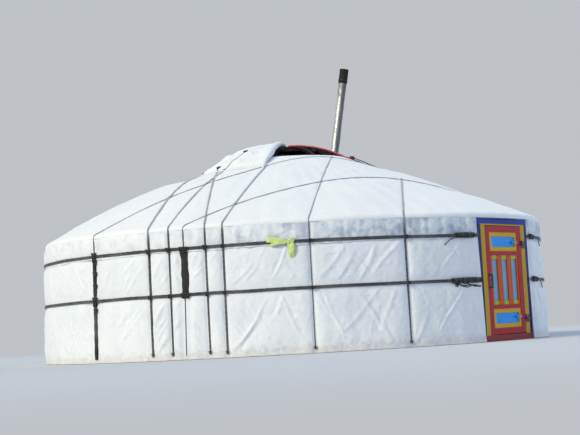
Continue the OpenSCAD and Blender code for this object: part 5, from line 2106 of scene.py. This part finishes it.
@dataclass(frozen=True)
class PipeWork:
    """Stove pipe of galvanised sheet with a folded seam, beads and a sooty sleeve."""

    axis: PipeAxis
    bead_r: float = 0.0028
    seam_r: float = 0.0030
    seam_out: float = 0.0505
    sleeve_beads: Table = ((0.030, 0.0532), (0.105, 0.0532), (0.150, 0.0506))
    bead_heights: Pair = (2.45, 3.05)
    bead_out: float = 0.0506
    wire_r: float = 0.0018
    wire_out: float = 0.0575
    wire_up: float = 0.045
    wire_pitch: float = 0.005

    def beads(self) -> Piece:
        """Makes the rolled beads and the folded seams.

        Returns:
            The piece.
        """
        maker = Maker()
        sleeve_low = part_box("pipe_upper")[0].z
        rings = [(sleeve_low + up, radius) for up, radius in self.sleeve_beads]
        rings += [(z, self.bead_out) for z in self.bead_heights]
        for z, radius in rings:
            maker.roll(self.axis.ring(z, radius), self.axis.along, self.bead_r)
        out = 0.6 * self.axis.across - 0.8 * np.cross(self.axis.along, self.axis.across)
        for low, high in ((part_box("pipe_lower")[0].z + 0.01, sleeve_low - 0.01),
                          (sleeve_low + 0.16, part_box("pipe_cap")[0].z)):
            path = self.axis.at(np.linspace(low, high, 40)[:, None]) + out * self.seam_out
            maker.roll(path, out, self.seam_r)
        return settle(maker.build("pipe_beads", Galvanised("zinc_sheet")), "pipe_zinc")

    def wire(self) -> Piece:
        """Makes the wire that holds the sooty sleeve.

        Returns:
            The piece.
        """
        maker = Maker()
        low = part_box("pipe_cap")[0].z
        for k in range(3):
            ring = self.axis.ring(low + self.wire_up + self.wire_pitch * k, self.wire_out)
            maker.roll(ring, self.axis.along, self.wire_r)
        return settle(maker.build("sleeve_wire", Iron("forged_iron")), "pipe_soot")

    def dress(self) -> None:
        """Gives each node its metal."""
        finish_nodes(Galvanised("zinc_sheet"), "pipe_lower", "pipe_upper", "pipe_plate")
        finish_nodes(Soot("pipe_soot_black"), "pipe_cap")

    def build(self) -> List[Piece]:
        """Dresses the pipe, makes its small pieces and returns them."""
        self.dress()
        return [self.beads(), self.wire()]


# Studio


@dataclass(frozen=True)
class Lamp:
    """One far lamp, with its spread and its place in the sky in degrees."""

    name: str
    strength: float
    spread: float
    azimuth: float
    height: float
    colour: Colour

    def hang(self) -> None:
        """Makes the lamp."""
        light = bpy.data.lights.new(self.name, "SUN")
        light.energy, light.angle, light.color = self.strength, math.radians(self.spread), self.colour
        a, e = math.radians(self.azimuth), math.radians(self.height)
        towards = Vector((math.sin(a) * math.cos(e), -math.cos(a) * math.cos(e), math.sin(e)))
        place(self.name, light).rotation_euler = towards.to_track_quat("Z", "Y").to_euler()


@dataclass(frozen=True)
class Studio:
    """Pale floor, soft light and the camera at the photograph's angle."""

    azimuth: float = 307.3
    distance: float = 19.0
    eye: float = 0.30
    aim: Triple = (0.02, 0.02, 1.66)
    lens: float = 94.0
    roll: float = -3.2
    floor_r: float = 180.0
    floor_z: float = -0.0005
    sky: float = 0.70
    sky_colour: Colour = (0.53, 0.69, 0.95)
    lamps: Tuple[Lamp, ...] = (
        Lamp("key", 2.55, 24.0, 258.0, 33.0, (1.0, 0.91, 0.66)),
        Lamp("fill", 2.55 * 0.38, 60.0, 75.0, 22.0, (0.78, 0.92, 1.0)),
    )

    def camera(self) -> None:
        """Makes the camera."""
        data = bpy.data.cameras.new("camera")
        data.lens = self.lens
        data.clip_end = 400.0
        made = place("camera", data)
        turn = math.radians(self.azimuth)
        stand = Vector((self.distance * math.sin(turn), -self.distance * math.cos(turn), self.eye))
        look = (Vector(self.aim) - stand).to_track_quat("-Z", "Y").to_matrix().to_4x4()
        made.matrix_world = Matrix.Translation(stand) @ look @ Matrix.Rotation(math.radians(self.roll), 4, "Z")
        bpy.context.scene.camera = made

    def floor(self) -> None:
        """Makes the floor."""
        maker = Maker()
        r = even(14)[:, None] ** 2 * self.floor_r + 0.02
        turn = np.linspace(0.0, TURN, 97)[None, :-1]
        maker.grid(polar(r, turn, self.floor_z), np.zeros((14, 97, 2)), closed=True)
        maker.build("studio_floor", StudioFloor("studio_floor_paint"))

    def light(self) -> None:
        """Makes the lamps and the surrounding light."""
        for lamp in self.lamps:
            lamp.hang()
        world = bpy.data.worlds.new("studio")
        bpy.context.scene.world = world
        desk = Desk(world)
        desk.tree.nodes.clear()
        sky = desk.node("Background", {}, {"Color": self.sky_colour, "Strength": self.sky})
        plain = desk.node("Background", {}, {"Color": BACKDROP, "Strength": 1.0})
        mixed = desk.node("MixShader", {}, {0: desk.seen(), 1: sky.outputs[0], 2: plain.outputs[0]})
        desk.node("OutputWorld", {}, {"Surface": mixed.outputs[0]})

    def build(self) -> None:
        """Makes the whole studio."""
        self.camera()
        self.floor()
        self.light()
        bpy.context.scene.view_settings.view_transform = "Standard"


def main() -> None:
    """Builds the studio and every sub-assembly in order."""
    logging.basicConfig(level=logging.INFO, format="%(name)s: %(message)s")
    Studio().build()
    form = TentForm()
    lacing = Lacing(form)
    swell = Swell(form, lacing)
    axis = PipeAxis()
    flap = CrownFlap(form, axis)
    roof = RoofCover(form, swell, flap.mouth())
    WoodFrame().dress()
    ropes = RopeWork(form, lacing, swell, roof, flap)
    for assembly in (WallCover(form, swell), roof, flap, ropes, DoorWork(), PipeWork(axis)):
        for piece in assembly.build():
            LOG.info("%s: %d triangles", piece.name, sum(len(p.vertices) - 2 for p in piece.data.polygons))


if __name__ == "__main__":
    main()
